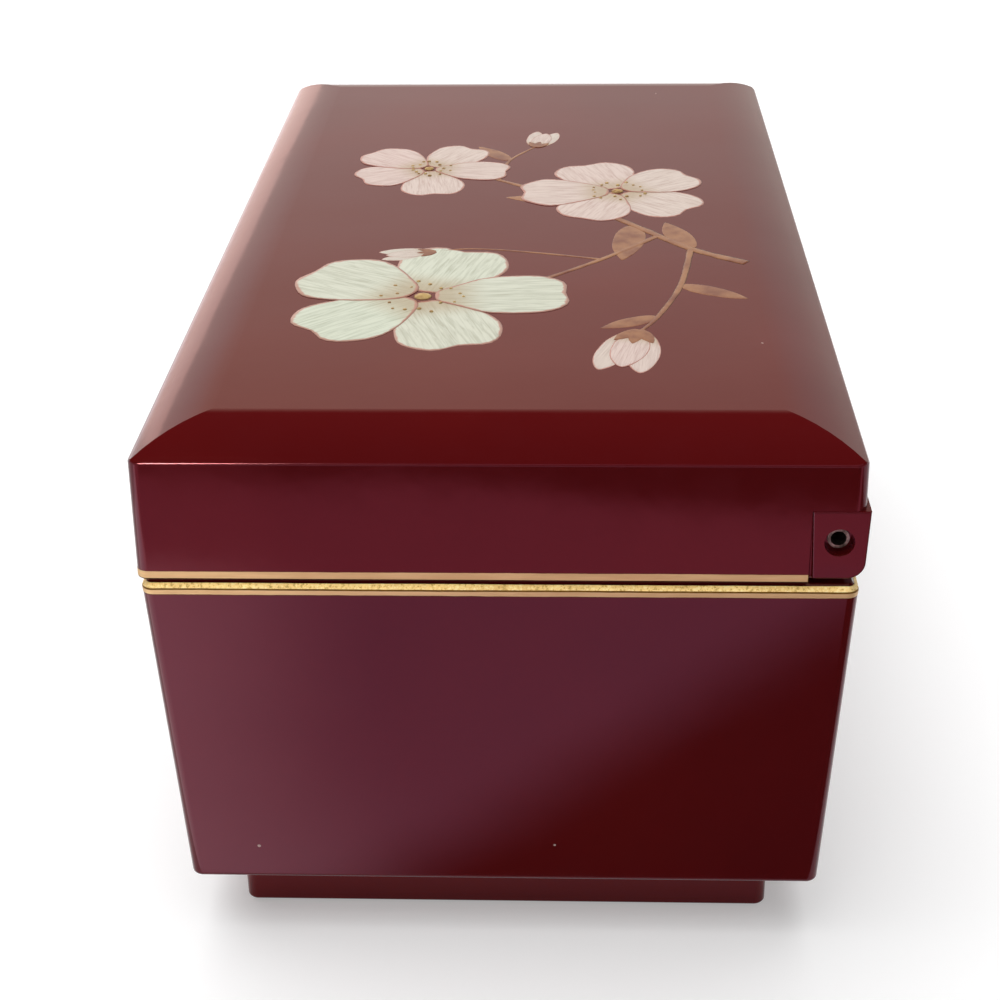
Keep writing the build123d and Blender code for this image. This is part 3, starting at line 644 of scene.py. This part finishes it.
def ribbon(name, rows, body, look, gate=None):
    """A closed thin ribbon round the box, or only as far back as the gate.

    Each row gives its inset from the half sizes, height, how proud it stands, and the size and
    seed of the wander in its height.
    """
    points, kept = [], None
    for inset, z, proud, wander, seed in rows:
        radius = CORNER if inset < TIGHT_FROM else max(CORNER - inset, LEAST_CORNER)
        ring = outline(HALF_LENGTH - inset, HALF_WIDTH - inset, radius)
        if gate:
            first = next(i for i, s in enumerate(ring) if s[0] < 0 and s[1] < gate)
            last = next(i for i in range(len(ring) - 1, 0, -1) if ring[i][1] < gate)
            kept = kept or (first - 1, last + 2)
            ring = [(x, min(y, gate), nx, ny) for x, y, nx, ny in ring[kept[0]:kept[1]]]
        for x, y, nx, ny in ring:
            drift = wobble(x, y, seed, wander)
            points.append((x + nx * proud, y + ny * proud, z + drift))
    count = len(points) // len(rows)
    faces = loops_to_faces(count, len(rows), closed_rows=True, closed_loop=gate is None)
    if gate:
        faces.append(tuple(row * count for row in range(len(rows))))
        faces.append(tuple(row * count + count - 1 for row in reversed(range(len(rows)))))
    return add_piece(name, np.array(points), faces, body, look, flat=True)


def case_inset(z):
    return (RIM - z) * CASE_LEAN


def lid_inset(z):
    return -(LID_EDGE - z) * LID_LEAN


def make_case_gilt(look, chamfer_look):
    """The gold on the case's wall, and the leaf on its rim's chamfer, lighter: painted light from
    above.
    """
    low, arris, inset = BAND_LOW, RIM - RIM_CHAMFER, case_inset
    ribbon(
        "case_gilt_band",
        [
            (inset(low), low - 0.10, SUNK, 0.10, 1),
            (inset(low), low - 0.10, PROUD, 0.10, 1),
            (inset(arris), arris - 0.20, PROUD, 0.09, 2),
            (inset(arris), arris - 0.20, SUNK, 0.09, 2),
        ],
        "case", look,
    )
    lift = PROUD * 0.7
    ribbon(
        "case_gilt_chamfer",
        [
            (inset(arris) + 0.10, arris + 0.05, 0, 0.09, 2),
            (inset(arris) + 0.06, arris + 0.10 + lift, lift, 0.09, 2),
            (RIM_CHAMFER - LEAF_TOP, RIM - LEAF_TOP + lift, lift, 0.05, 3),
            (RIM_CHAMFER - LEAF_TOP + 0.12, RIM - LEAF_TOP - 0.02, 0, 0.05, 3),
        ],
        "case", chamfer_look,
    )


def make_lid_gilt(look, lip_shade_look):
    """The gold on the lid's wall, and a dark ribbon on the edge under it: painted shade over the
    rim.
    """
    low, high, spread = LID_BAND_LOW, LID_BAND_HIGH, lid_inset
    ribbon(
        "lid_gilt_band",
        [
            (spread(low), low + 0.05, SUNK, 0.03, 4),
            (spread(low), low + 0.05, PROUD, 0.03, 4),
            (spread(high), high, PROUD, 0.08, 5),
            (spread(high), high, SUNK, 0.08, 5),
        ],
        "lid", look, gate=LINE_GATE,
    )
    # A dark, dull ribbon on the lid's lower edge: painted shade for the gap over the rim
    skin, bevel = 0.012, 0.3
    inner = spread(LID_LOW) + 2 * bevel
    ribbon(
        "lid_lip_shade",
        [
            (spread(low), low - 0.01, skin, 0, 6),
            (spread(low - 0.1), low - 0.1, skin, 0, 6),
            (spread(LID_LOW) + bevel, LID_LOW - skin, 0, 0, 6),
            (inner, LID_LOW - skin, 0, 0, 6),
            (inner, LID_LOW + 0.06, 0, 0, 6),
            (spread(low) + 0.10, low - 0.02, 0, 0, 6),
        ],
        "lid", lip_shade_look, gate=LINE_GATE,
    )


SEAM_LOW, SEAM_HIGH, SEAM_STEPS = 78.15, 90.6, 16
SEAM_BACK = 107.4             # how deep the bead reaches into the joint
SEAM_HOLLOW = 0.22            # how far its face lies behind the lid's wall
SEAM_INTO = 0.03              # how far it reaches into the lid and the block
JOINT_LOW, JOINT_RISE = 78.05, 12.45
JOINT_FAR, JOINT_TAPER = 51.9, 0.6    # the joint's far side at its foot, and how it narrows upward


def make_seams(look):
    """The lacquer that has run into the joint between the lid's wall and each hinge block."""
    for side, sign in (("right", 1), ("left", -1)):
        points = []
        for k in range(SEAM_STEPS + 1):
            z = SEAM_LOW + (SEAM_HIGH - SEAM_LOW) * k / SEAM_STEPS
            uneven = 0.05 * noise.noise(Vector((0, sign * 3, z * 0.5)))
            skin = HALF_LENGTH - lid_inset(z) - SEAM_HOLLOW - uneven
            joint = JOINT_FAR - JOINT_TAPER * (z - JOINT_LOW) / JOINT_RISE
            near, far = BLOCK_FRONT - SEAM_INTO, joint + SEAM_INTO
            ring = (
                (SEAM_BACK, near), (skin - 0.12, near), (skin, (BLOCK_FRONT + joint) / 2),
                (skin - 0.12, far), (SEAM_BACK, far),
            )
            points += [(sign * x, y, z) for x, y in ring]
        count = len(ring)
        faces = loops_to_faces(count, SEAM_STEPS + 1)
        faces.append(tuple(range(count)))
        faces.append(tuple(reversed(range(count * SEAM_STEPS, count * SEAM_STEPS + count))))
        add_piece("seam_bead_" + side, np.array(points), faces, "lid", look)


# Velvet boards, felts and ring rolls
def edge_steps(length, radius, step):
    """Places along one side of a board: close together in the rounded ends."""
    if length < 2.2 * radius:
        return np.array([0, length / 2, length])
    bend = [0, 0.35 * radius, 0.7 * radius]
    count = max(1, round((length - 2 * radius) / step))
    middle = np.linspace(radius, length - radius, count + 1)
    return np.array([*bend, *middle, *(length - np.array(bend))[::-1]])


FLAT_EDGE = 4.0               # how far in from its edges a board's face turns uneven


def soft_block(corners, radius, step, swell, seed):
    """A rounded block between eight corners, [x][y][z], with a gently uneven face."""
    ends = (corners[1, 0, 0], corners[0, 1, 0], corners[0, 0, 1])
    sides = np.array([np.linalg.norm(end - corners[0, 0, 0]) for end in ends])
    grids = [edge_steps(side, radius, step) for side in sides]
    last = [len(grid) - 1 for grid in grids]
    core_low, core_high = np.minimum(radius, sides / 2), np.maximum(sides - radius, sides / 2)
    thin = int(np.argmin(sides))
    broad = [n for n in range(3) if n != thin]
    index, points, faces = {}, [], []

    def point(*ijk):
        if ijk not in index:
            index[ijk] = len(points)
            at = np.array([grid[n] for grid, n in zip(grids, ijk)])
            core = np.clip(at, core_low, core_high)
            out = at - core
            reach = np.linalg.norm(out)
            if reach > 0:
                at = core + out / reach * min(radius, np.abs(out).max())
            u, v, w = share = at / sides
            place = sum(
                corners[a, b, c] * (u if a else 1 - u) * (v if b else 1 - v) * (w if c else 1 - w)
                for a in (0, 1) for b in (0, 1) for c in (0, 1)
            )
            from_edge = min(min(share[n], 1 - share[n]) * sides[n] for n in broad)
            lift = min(1.0, from_edge / FLAT_EDGE)
            x, y, z = place * 0.06
            push = swell * lift * (0.55 + 0.9 * noise.noise(Vector((x, y, z + seed))))
            inward = np.zeros(3)
            inward[thin] = 1 if share[thin] < 0.5 else -1
            points.append(place + inward * push)
        return index[ijk]

    for axis in range(3):
        one, two = [n for n in range(3) if n != axis]
        for end in (0, last[axis]):
            for a in range(last[one]):
                for b in range(last[two]):
                    quad = []
                    for da, db in ((0, 0), (1, 0), (1, 1), (0, 1)):
                        ijk = [0, 0, 0]
                        ijk[axis], ijk[one], ijk[two] = end, a + da, b + db
                        quad.append(point(*ijk))
                    faces.append(quad)
    return np.array(points), faces


def block_corners(node, thin, mitre=(0.0, 0.0), thick=None):
    """The eight corners of a CAD board.

    thin is its thin axis, mitre what its ends give up, and thick a leaning wall's thickness.
    """
    cloud = cloud_of(node)
    level = [cloud[:, 2].min(), cloud[:, 2].max()]
    corners = np.zeros((2, 2, 2, 3))
    along = 1 - thin if thin < 2 else 0
    for c in (0, 1):
        ring = cloud[np.abs(cloud[:, 2] - level[c]) < 0.08]
        low, high = ring.min(0), ring.max(0)
        if thick:
            if abs(low[thin]) > abs(high[thin]):
                high[thin] = low[thin] + thick
            else:
                low[thin] = high[thin] - thick
        low[along] += mitre[0]
        high[along] -= mitre[1]
        for a in (0, 1):
            for b in (0, 1):
                corners[a, b, c] = ((low, high)[a][0], (low, high)[b][1], level[c])
    return corners


LINING, MITRE = 1.6, 0.8
# Board, its thin axis, what its ends give up to a mitre, thickness of a leaning wall
WALL_BOARDS = (
    ("lining_front", 1, (MITRE, MITRE), LINING), ("lining_rear", 1, (0, 0), LINING),
    ("lining_left", 0, (MITRE, 0), LINING), ("lining_right", 0, (MITRE, 0), LINING),
    ("divider_main", 0, (0, 0), None), ("divider_cross", 1, (0, 0), None),
    ("lid_lining_front", 1, (MITRE, MITRE), LINING), ("lid_lining_rear", 1, (0, 0), LINING),
    ("lid_lining_left", 0, (MITRE, 0), LINING), ("lid_lining_right", 0, (MITRE, 0), LINING),
    ("drawer_divider_left", 0, (0, 0), None), ("drawer_divider_right", 0, (0, 0), None),
)
FLAT_BOARDS = ("floor_lining", "lid_lining_top", "drawer_felt", "base_felt")
WALL_ROUND, WALL_STEP = 0.55, 3.0
FLAT_ROUND, FLAT_STEP = 0.45, 4.5
SWELL = 0.10                  # how uneven the velvet's face is


def make_boards(looks):
    groups = frame["record"]["behaviour"]["bodies"].items()
    bodies = {node: body for body, rows in groups for node in rows}

    def add_board(node, points, faces):
        slot = slot_of[node]
        return add_piece("soft_" + node, points, faces, bodies[node], looks[slot], [node])

    for seed, (node, thin, mitre, thick) in enumerate(WALL_BOARDS):
        corners = block_corners(node, thin, mitre, thick)
        add_board(node, *soft_block(corners, WALL_ROUND, WALL_STEP, SWELL, seed))
    for seed, node in enumerate(FLAT_BOARDS):
        corners = block_corners(node, 2)
        thickness = corners[0, 0, 1, 2] - corners[0, 0, 0, 2]
        radius = min(FLAT_ROUND, thickness * 0.45)
        swell = 0.0 if node == "base_felt" else SWELL
        piece = add_board(node, *soft_block(corners, radius, FLAT_STEP, swell, seed + 20))


ROLL_TURNS, ROLL_ROWS = 44, 90
ROLL_FOLDS = 9
PLEATS, PLEAT_DEPTH, PLEAT_REACH = 11, 0.22, 3.0     # round each gathered end
SEWN_END = 3.2                # how far a roll's gathered end reaches
FLAT_FOOT, ROUND_TOP = 0.62, 0.92     # powers that square or round the section
COVER_CUT = (1.05, 1.06, 1.05)        # how much larger the cover is cut than it is sewn
FOOT_SHARE = 0.86             # the part of the foot, by depth, that is glued down
FILL_FRAMES = 20
FILL_LIMIT = 0.7              # the most that the wadding moves a point of the cover


def roll_form():
    """One ring roll's cover before it is filled: a slack tube of D section with gathered ends."""
    cloud = cloud_of("ring_roll_1")
    width, length, height = cloud.max(0) - cloud.min(0)
    middle = (cloud.max(0) + cloud.min(0)) / 2
    points = []
    for r in range(ROLL_ROWS + 1):
        share = r / ROLL_ROWS
        share = 0.35 * share + 0.65 * (0.5 - 0.5 * math.cos(math.pi * share))
        end = min(share, 1 - share) * length
        close = math.sqrt(max(0.0, 1 - (1 - end / SEWN_END) ** 2)) if end < SEWN_END else 1.0
        close = 0.30 + 0.65 * close
        for t in range(ROLL_TURNS):
            angle = 2 * math.pi * t / ROLL_TURNS
            c, s = math.cos(angle), math.sin(angle)
            power = FLAT_FOOT if s < 0 else ROUND_TOP
            x = math.copysign(abs(c) ** power, c) * width / 2
            z = math.copysign(abs(s) ** power, s) * height / 2
            points.append((x * close, middle[1] + length * (share - 0.5), z * close))
    faces = loops_to_faces(ROLL_TURNS, ROLL_ROWS + 1)
    faces.append(tuple(range(ROLL_TURNS)))
    faces.append(tuple(reversed(range(ROLL_ROWS * ROLL_TURNS, (ROLL_ROWS + 1) * ROLL_TURNS))))
    return np.array(points), faces, (width, length, height)


def fill_cover(points, faces):
    """The cover filled with wadding: cloth under pressure, sewn at its ends and along its foot."""
    scale = 0.1                   # centimetres, where the solver's settings suit the cloth
    cover = bpy.data.objects.new("cover", closed_mesh("cover", points * scale, faces))
    bpy.context.scene.collection.objects.link(cover)
    cover.shape_key_add(name="sewn")
    cut = cover.shape_key_add(name="cut")
    for key, point in zip(cut.data, points):
        key.co = point * scale * np.array(COVER_CUT)
    cut.value = 0
    ends = [*range(ROLL_TURNS), *range(ROLL_ROWS * ROLL_TURNS, len(points))]
    glued = FOOT_SHARE * points[:, 2].min()
    foot = [i for i, point in enumerate(points) if point[2] < glued]
    sewn = cover.vertex_groups.new(name="sewn")
    sewn.add(ends + foot, 1.0, "REPLACE")
    settings = cover.modifiers.new("cloth", "CLOTH").settings
    settings.quality = 6
    settings.mass = 0.15
    settings.tension_stiffness = settings.compression_stiffness = 25
    settings.shear_stiffness = 12
    settings.bending_stiffness = 0.1
    settings.use_pressure = True
    settings.uniform_pressure_force = 4.0
    settings.effector_weights.gravity = 0
    settings.vertex_group_mass = "sewn"
    settings.rest_shape_key = cut
    scene = bpy.context.scene
    for step in range(1, FILL_FRAMES + 1):
        scene.frame_set(step)
    filled = cover.evaluated_get(bpy.context.evaluated_depsgraph_get()).data
    moved = np.array([v.co for v in filled.vertices]) / scale - points
    scene.frame_set(1)
    bpy.data.objects.remove(cover)
    far = np.linalg.norm(moved, axis=1, keepdims=True)
    return points + moved * np.minimum(1, FILL_LIMIT / np.maximum(far, 1e-9))


def make_rolls(look):
    points, faces, (width, length, height) = roll_form()
    points = fill_cover(points, faces)
    middle = (points[:, 1].max() + points[:, 1].min()) / 2
    for n in range(1, 7):
        cloud = cloud_of(f"ring_roll_{n}")
        near, far = cloud.min(0), cloud.max(0)
        dice = random.Random(100 + n)
        folds = []
        for _ in range(ROLL_FOLDS):
            at = dice.uniform(near[1] + 6, far[1] - 6)
            depth, wide = dice.uniform(0.10, 0.28), dice.uniform(0.8, 2.4)
            folds.append((at, depth, wide, dice.uniform(-1, 1)))
        moved = points.copy()
        for i, (x, y, z) in enumerate(points):
            end = length / 2 - abs(y - middle)
            angle = math.atan2(z, x)
            gather = math.exp(-max(end, 0) / PLEAT_REACH)
            pleat = PLEAT_DEPTH * gather * math.cos(PLEATS * angle + n)
            soft = 0.16 * noise.noise(Vector((x * 0.12 + 9 * n, y * 0.07, z * 0.12)))
            crease = sum(
                -depth * math.exp(-((y - at - lean * z * 0.4) / wide) ** 2)
                for at, depth, wide, lean in folds
            )
            size = math.hypot(x, z) or 1
            grown = 1 + (pleat + soft + crease - 0.02) / size
            x = min(max(x * grown, -width / 2), width / 2)
            z = min(max(z * grown, -height / 2 + 0.02), height / 2)
            y = min(max(y, near[1]), far[1])
            moved[i] = ((near[0] + far[0]) / 2 + x, y, (near[2] + far[2]) / 2 + z)
        roll = add_piece(
            f"ring_roll_pad_{n}", moved, faces, "case", look, [f"ring_roll_{n}"]
        )


# Painted spray on the lid: a traditional branch with five-petal blossoms
LID_TOP = 102.72
PAINT = 0.026                 # thickness of a petal's paint
ROOT = 0.03                   # how deep a mark's foot stands in the lacquer
COAT = 0.03                   # how much higher each petal lies than the one before
PETALS, STAMENS = 5, 17
LAYING = (0, 2, 4, 1, 3)      # the order in which a blossom's petals are laid
PETAL_TURNS, PETAL_RINGS = 40, (0.15, 0.35, 0.55, 0.72, 0.86, 0.95, 1.0)
BRUSH = (-1, -0.6, 0, 0.6, 1)         # places across a stroke
STROKE_STEPS = 14
DOT_TURNS = 10


class Spray:
    """Points, faces and values of one painted mesh, in millimetres on the lid's top."""

    def __init__(self):
        self.points, self.faces = [], []
        self.values = {"rim": [], "along": [], "across": [], "blush": []}

    def add(self, points, faces, rim=0.5, along=0.5, across=0.0, blush=0.0):
        start = len(self.points)
        self.points += points
        self.faces += [tuple(i + start for i in face) for face in faces]
        for key, given in zip(self.values, (rim, along, across, blush)):
            self.values[key] += given if isinstance(given, list) else [given] * len(points)

    def petal(self, heart, angle, length, width, level, blush, notch=0.06, wave=0.0, full=0.35):
        """A closed low petal: rings from its middle out to its rim, and a foot in the lacquer."""
        turns, rings = PETAL_TURNS, PETAL_RINGS
        edge = []
        for k in range(turns):
            t = 2 * math.pi * k / turns
            x = 0.5 * (1 - math.cos(t))
            broad = (1 - full) + full * 2 * x
            y = 0.5 * math.sin(t) * broad * (1 + wave * math.sin(5 * t + angle))
            x -= notch * math.exp(-(((t - math.pi) / 0.28) ** 2)) - wave * 0.3 * math.cos(7 * t)
            edge.append((x, y))
        ca, sa = math.cos(angle), math.sin(angle)
        points, rim, along, across = [], [], [], []
        middle = (0.5, 0.0)

        def place(x, y, z):
            px, py = x * length, y * width
            points.append((heart[0] + px * ca - py * sa, heart[1] + px * sa + py * ca, z))
            along.append(x)
            across.append(y * 2)

        place(*middle, LID_TOP + level + PAINT)
        rim.append(0.0)
        for s in rings:
            for x, y in edge:
                height = PAINT * min(1.0, (1 - s) * 4) + 0.004 * math.sin(9 * y + 3 * x) * (1 - s)
                place(middle[0] + (x - middle[0]) * s, y * s, LID_TOP + level + height)
                rim.append(s)
        for x, y in edge:
            place(x, y, LID_TOP - ROOT)
            rim.append(1.0)
        faces = [(0, 1 + i, 1 + (i + 1) % turns) for i in range(turns)]
        faces += loops_to_faces(turns, len(rings) + 1, start=1)
        foot = 1 + turns * len(rings)
        faces.append(tuple(reversed(range(foot, foot + turns))))
        self.add(points, faces, rim, along, across, blush)

    def stroke(self, path, wide, level=0.012, rise=0.045):
        """A brush stroke: a low rounded ribbon along a smooth path."""
        line = smooth_path(path, STROKE_STEPS)
        points = []
        for i, (x, y) in enumerate(line):
            ahead, behind = line[min(i + 1, len(line) - 1)], line[max(i - 1, 0)]
            dx, dy = ahead[0] - behind[0], ahead[1] - behind[1]
            size = math.hypot(dx, dy) or 1
            share = i / (len(line) - 1)
            half = (wide[0] + (wide[1] - wide[0]) * share) / 2
            half *= 1 + 0.22 * noise.noise(Vector((x * 0.3, y * 0.3, 3)))
            for v in BRUSH:
                z = level + rise * math.sqrt(max(0, 1 - v * v)) if abs(v) < 1 else 0.0
                points.append((x - dy / size * half * v, y + dx / size * half * v, LID_TOP + z))
            points.append((x, y, LID_TOP - ROOT))
        count = len(BRUSH) + 1
        faces = loops_to_faces(count, len(line))
        faces.append(tuple(range(count)))
        faces.append(tuple(reversed(range(count * (len(line) - 1), count * len(line)))))
        self.add(points, [tuple(reversed(f)) for f in faces])

    def leaf(self, heart, angle, length, width, level=0.01):
        self.petal(heart, angle, length, width, level, 0.0, notch=-0.10, wave=0.02, full=-0.1)

    def dot(self, x, y, radius, level):
        turns = DOT_TURNS
        angles = [2 * math.pi * k / turns for k in range(turns)]
        ring = [(x + radius * math.cos(angle), y + radius * math.sin(angle)) for angle in angles]
        points = [(px, py, LID_TOP - 0.02) for px, py in ring]
        points += [(x + (px - x) * 0.8, y + (py - y) * 0.8, LID_TOP + level) for px, py in ring]
        points.append((x, y, LID_TOP + level + radius * 0.25))
        faces = loops_to_faces(turns, 2)
        faces += [(turns + k, turns + (k + 1) % turns, 2 * turns) for k in range(turns)]
        faces.append(tuple(reversed(range(turns))))
        self.add(points, faces)

    def piece(self, name, look):
        points = np.array(self.points)
        return add_piece(name, points, self.faces, "lid", look, attributes=self.values)


def smooth_path(path, steps):
    """A Catmull-Rom line through plan points."""
    ends = [path[0], *path, path[-1]]
    line = []
    for a, b, c, d in zip(ends, ends[1:], ends[2:], ends[3:]):
        for k in range(steps):
            t = k / steps
            line.append(tuple(
                0.5 * (
                    2 * b[i] + (c[i] - a[i]) * t + (2 * a[i] - 5 * b[i] + 4 * c[i] - d[i]) * t * t
                    + (3 * b[i] - a[i] - 3 * c[i] + d[i]) * t ** 3
                )
                for i in (0, 1)
            ))
    return line + [path[-1]]


def make_spray(petal_look, stem_look, stamen_look):
    dice = random.Random(41)
    petals, stems, hearts = Spray(), Spray(), Spray()

    def blossom(x, y, size, turn, blush):
        for order, k in enumerate(LAYING):
            angle = math.radians(turn + 360 * k / PETALS + dice.uniform(-5, 5))
            length = size * dice.uniform(0.46, 0.53)
            heart = (x + 0.04 * size * math.cos(angle), y + 0.04 * size * math.sin(angle))
            petals.petal(
                heart, angle, length, size * dice.uniform(0.36, 0.43), 0.012 + COAT * order,
                blush + dice.uniform(-0.12, 0.12),
                notch=dice.uniform(0.03, 0.09), wave=dice.uniform(0.01, 0.04),
            )
        for k in range(STAMENS):
            angle = math.radians(turn + 360 * k / STAMENS + dice.uniform(-6, 6))
            reach = size * dice.uniform(0.09, 0.16)
            tip = (x + reach * math.cos(angle), y + reach * math.sin(angle))
            hearts.dot(*tip, dice.uniform(0.32, 0.5), 0.22)
        hearts.dot(x, y, size * 0.035, 0.22)

    def bud(x, y, length, turn, blush):
        angle = math.radians(turn)
        ahead = (math.cos(angle), math.sin(angle))
        side = (-math.sin(angle), math.cos(angle))
        outer_and_inner = ((-0.09, -7, 0.36, 1), (0.09, 7, 0.36, 1), (0.0, 0, 0.40, 0.88))
        for order, (shift, lean, wide, long) in enumerate(outer_and_inner):
            heart = (x + side[0] * shift * length, y + side[1] * shift * length)
            petals.petal(
                heart, angle + math.radians(lean), length * long, length * wide,
                0.012 + COAT * order, blush + 0.1 * order, notch=-0.04, wave=0.015, full=-0.05,
            )
        foot = (x - 0.10 * length * ahead[0], y - 0.10 * length * ahead[1])
        for lean in (-32, 0, 32):
            stems.leaf(foot, angle + math.radians(lean), length * 0.36, length * 0.16, level=0.11)

    stems.stroke([(30, 46.5), (22, 36), (8, 25), (-8, 12), (-22, -4), (-34, -20)], (2.6, 1.1))
    stems.stroke([(14, 30), (28, 18), (42, 3), (50, -10)], (1.6, 1.0))
    stems.stroke([(22, 36), (42, 33), (58, 28), (66, 24)], (1.5, 0.8))
    stems.stroke([(-8, 12), (-14, 22), (-24, 28)], (1.4, 0.9))
    stems.stroke([(-22, -4), (-36, -2), (-47, 4)], (1.1, 0.6))
    stems.stroke([(28, 18), (24, 4), (22, -8), (24, -16)], (1.0, 0.5))
    blossom(48, -16, 52, 20, 0.05)
    blossom(-14, 22, 40, 52, 0.85)
    blossom(-30, -20, 34, 10, 0.95)
    bud(66, 24, 17, -12, 0.75)
    bud(-47, 4, 11, 168, 0.7)
    bud(24, -16, 10, -78, 0.5)
    for x, y, turn, length, width in (
        (8, 25, -8, 19, 6.5), (22, 36, 196, 15, 5.5), (42, 33, 60, 13, 4.5),
        (-36, -2, 215, 12, 4.2), (-8, 12, 262, 13, 4.8), (58, 28, -62, 11, 4.0),
    ):
        stems.leaf((x, y), math.radians(turn), length, width)
    petals.piece("spray_petals", petal_look)
    stems.piece("spray_stems", stem_look)
    hearts.piece("spray_stamens", stamen_look)


# The scene: camera, stage and lamps, then the pieces and the looks of the CAD nodes
bpy.context.scene.view_settings.view_transform = "Standard"
make_camera()
make_world()
make_floor()
edge_lamp = make_lamps()
make_glow()

LOOKS = {
    "lacquer": lacquer("lacquer_oxblood", (0.080, 0.0036, 0.0040), (0.094, 0.0044, 0.0042)),
    "gilt": gilt("gilt_paint", (0.60, 0.36, 0.165), (0.69, 0.44, 0.21), 0.30, 0.40),
    "velvet": velvet(),
    "roll_velvet": velvet(),
    "pin_steel": steel(),
    "brass": brass(),
    "screw_steel": screw_steel(),
    "mirror": looking_glass(),
    "felt": felt(),
    "board": wood("fibreboard", (0.30, 0.19, 0.10), (0.20, 0.12, 0.06), (1.5, 1.5, 1.5)),
    "drawer_board": wood(
        "stained_board", (0.085, 0.024, 0.016), (0.045, 0.012, 0.009), (0.10, 0.10, 1.6), gloss=0.4
    ),
}
slot_of = {part["node"]: part["material_slot"] for part in frame["record"]["subparts"]}
# A lighter, less metallic copy of the gold on the rim's chamfer: painted light from above
gilt_lit_chamfer = gilt("gilt_lit_chamfer", (0.90, 0.635, 0.28), (1.0, 0.755, 0.37), 0.28, 0.62, glints=0.8)
make_case_gilt(LOOKS["gilt"], gilt_lit_chamfer)
make_lid_gilt(LOOKS["gilt"], lip_shade())
make_seams(LOOKS["lacquer"])
make_spray(petal_paint(), stem_paint(), stamen_paint())
make_boards(LOOKS)
make_rolls(LOOKS["roll_velvet"])
OWN_LOOKS = {
    "plinth": lacquer("lacquer_brown", (0.130, 0.0082, 0.0014), (0.150, 0.0094, 0.0016)),
    "case_gilt_line": worn_gilt("worn_case_gilt", BAND_LOW - 0.05, RIM - LEAF_TOP),
    "lid_gilt_line": worn_gilt("worn_lid_gilt", LID_BAND_LOW, LID_BAND_HIGH - 0.05),
}
for name, obj in nodes.items():
    look = OWN_LOOKS.get(name) or LOOKS.get(slot_of[name])
    if look:
        obj.data.materials.clear()
        obj.data.materials.append(look)

# The strip lamp is for the lid's polished edge and the leaf on the rim's chamfer
polished = bpy.data.collections.new("polished_edges")
for obj in (nodes["lid_shell"], bpy.data.objects["case_gilt_chamfer"]):
    polished.objects.link(obj)
edge_lamp.light_linking.receiver_collection = polished
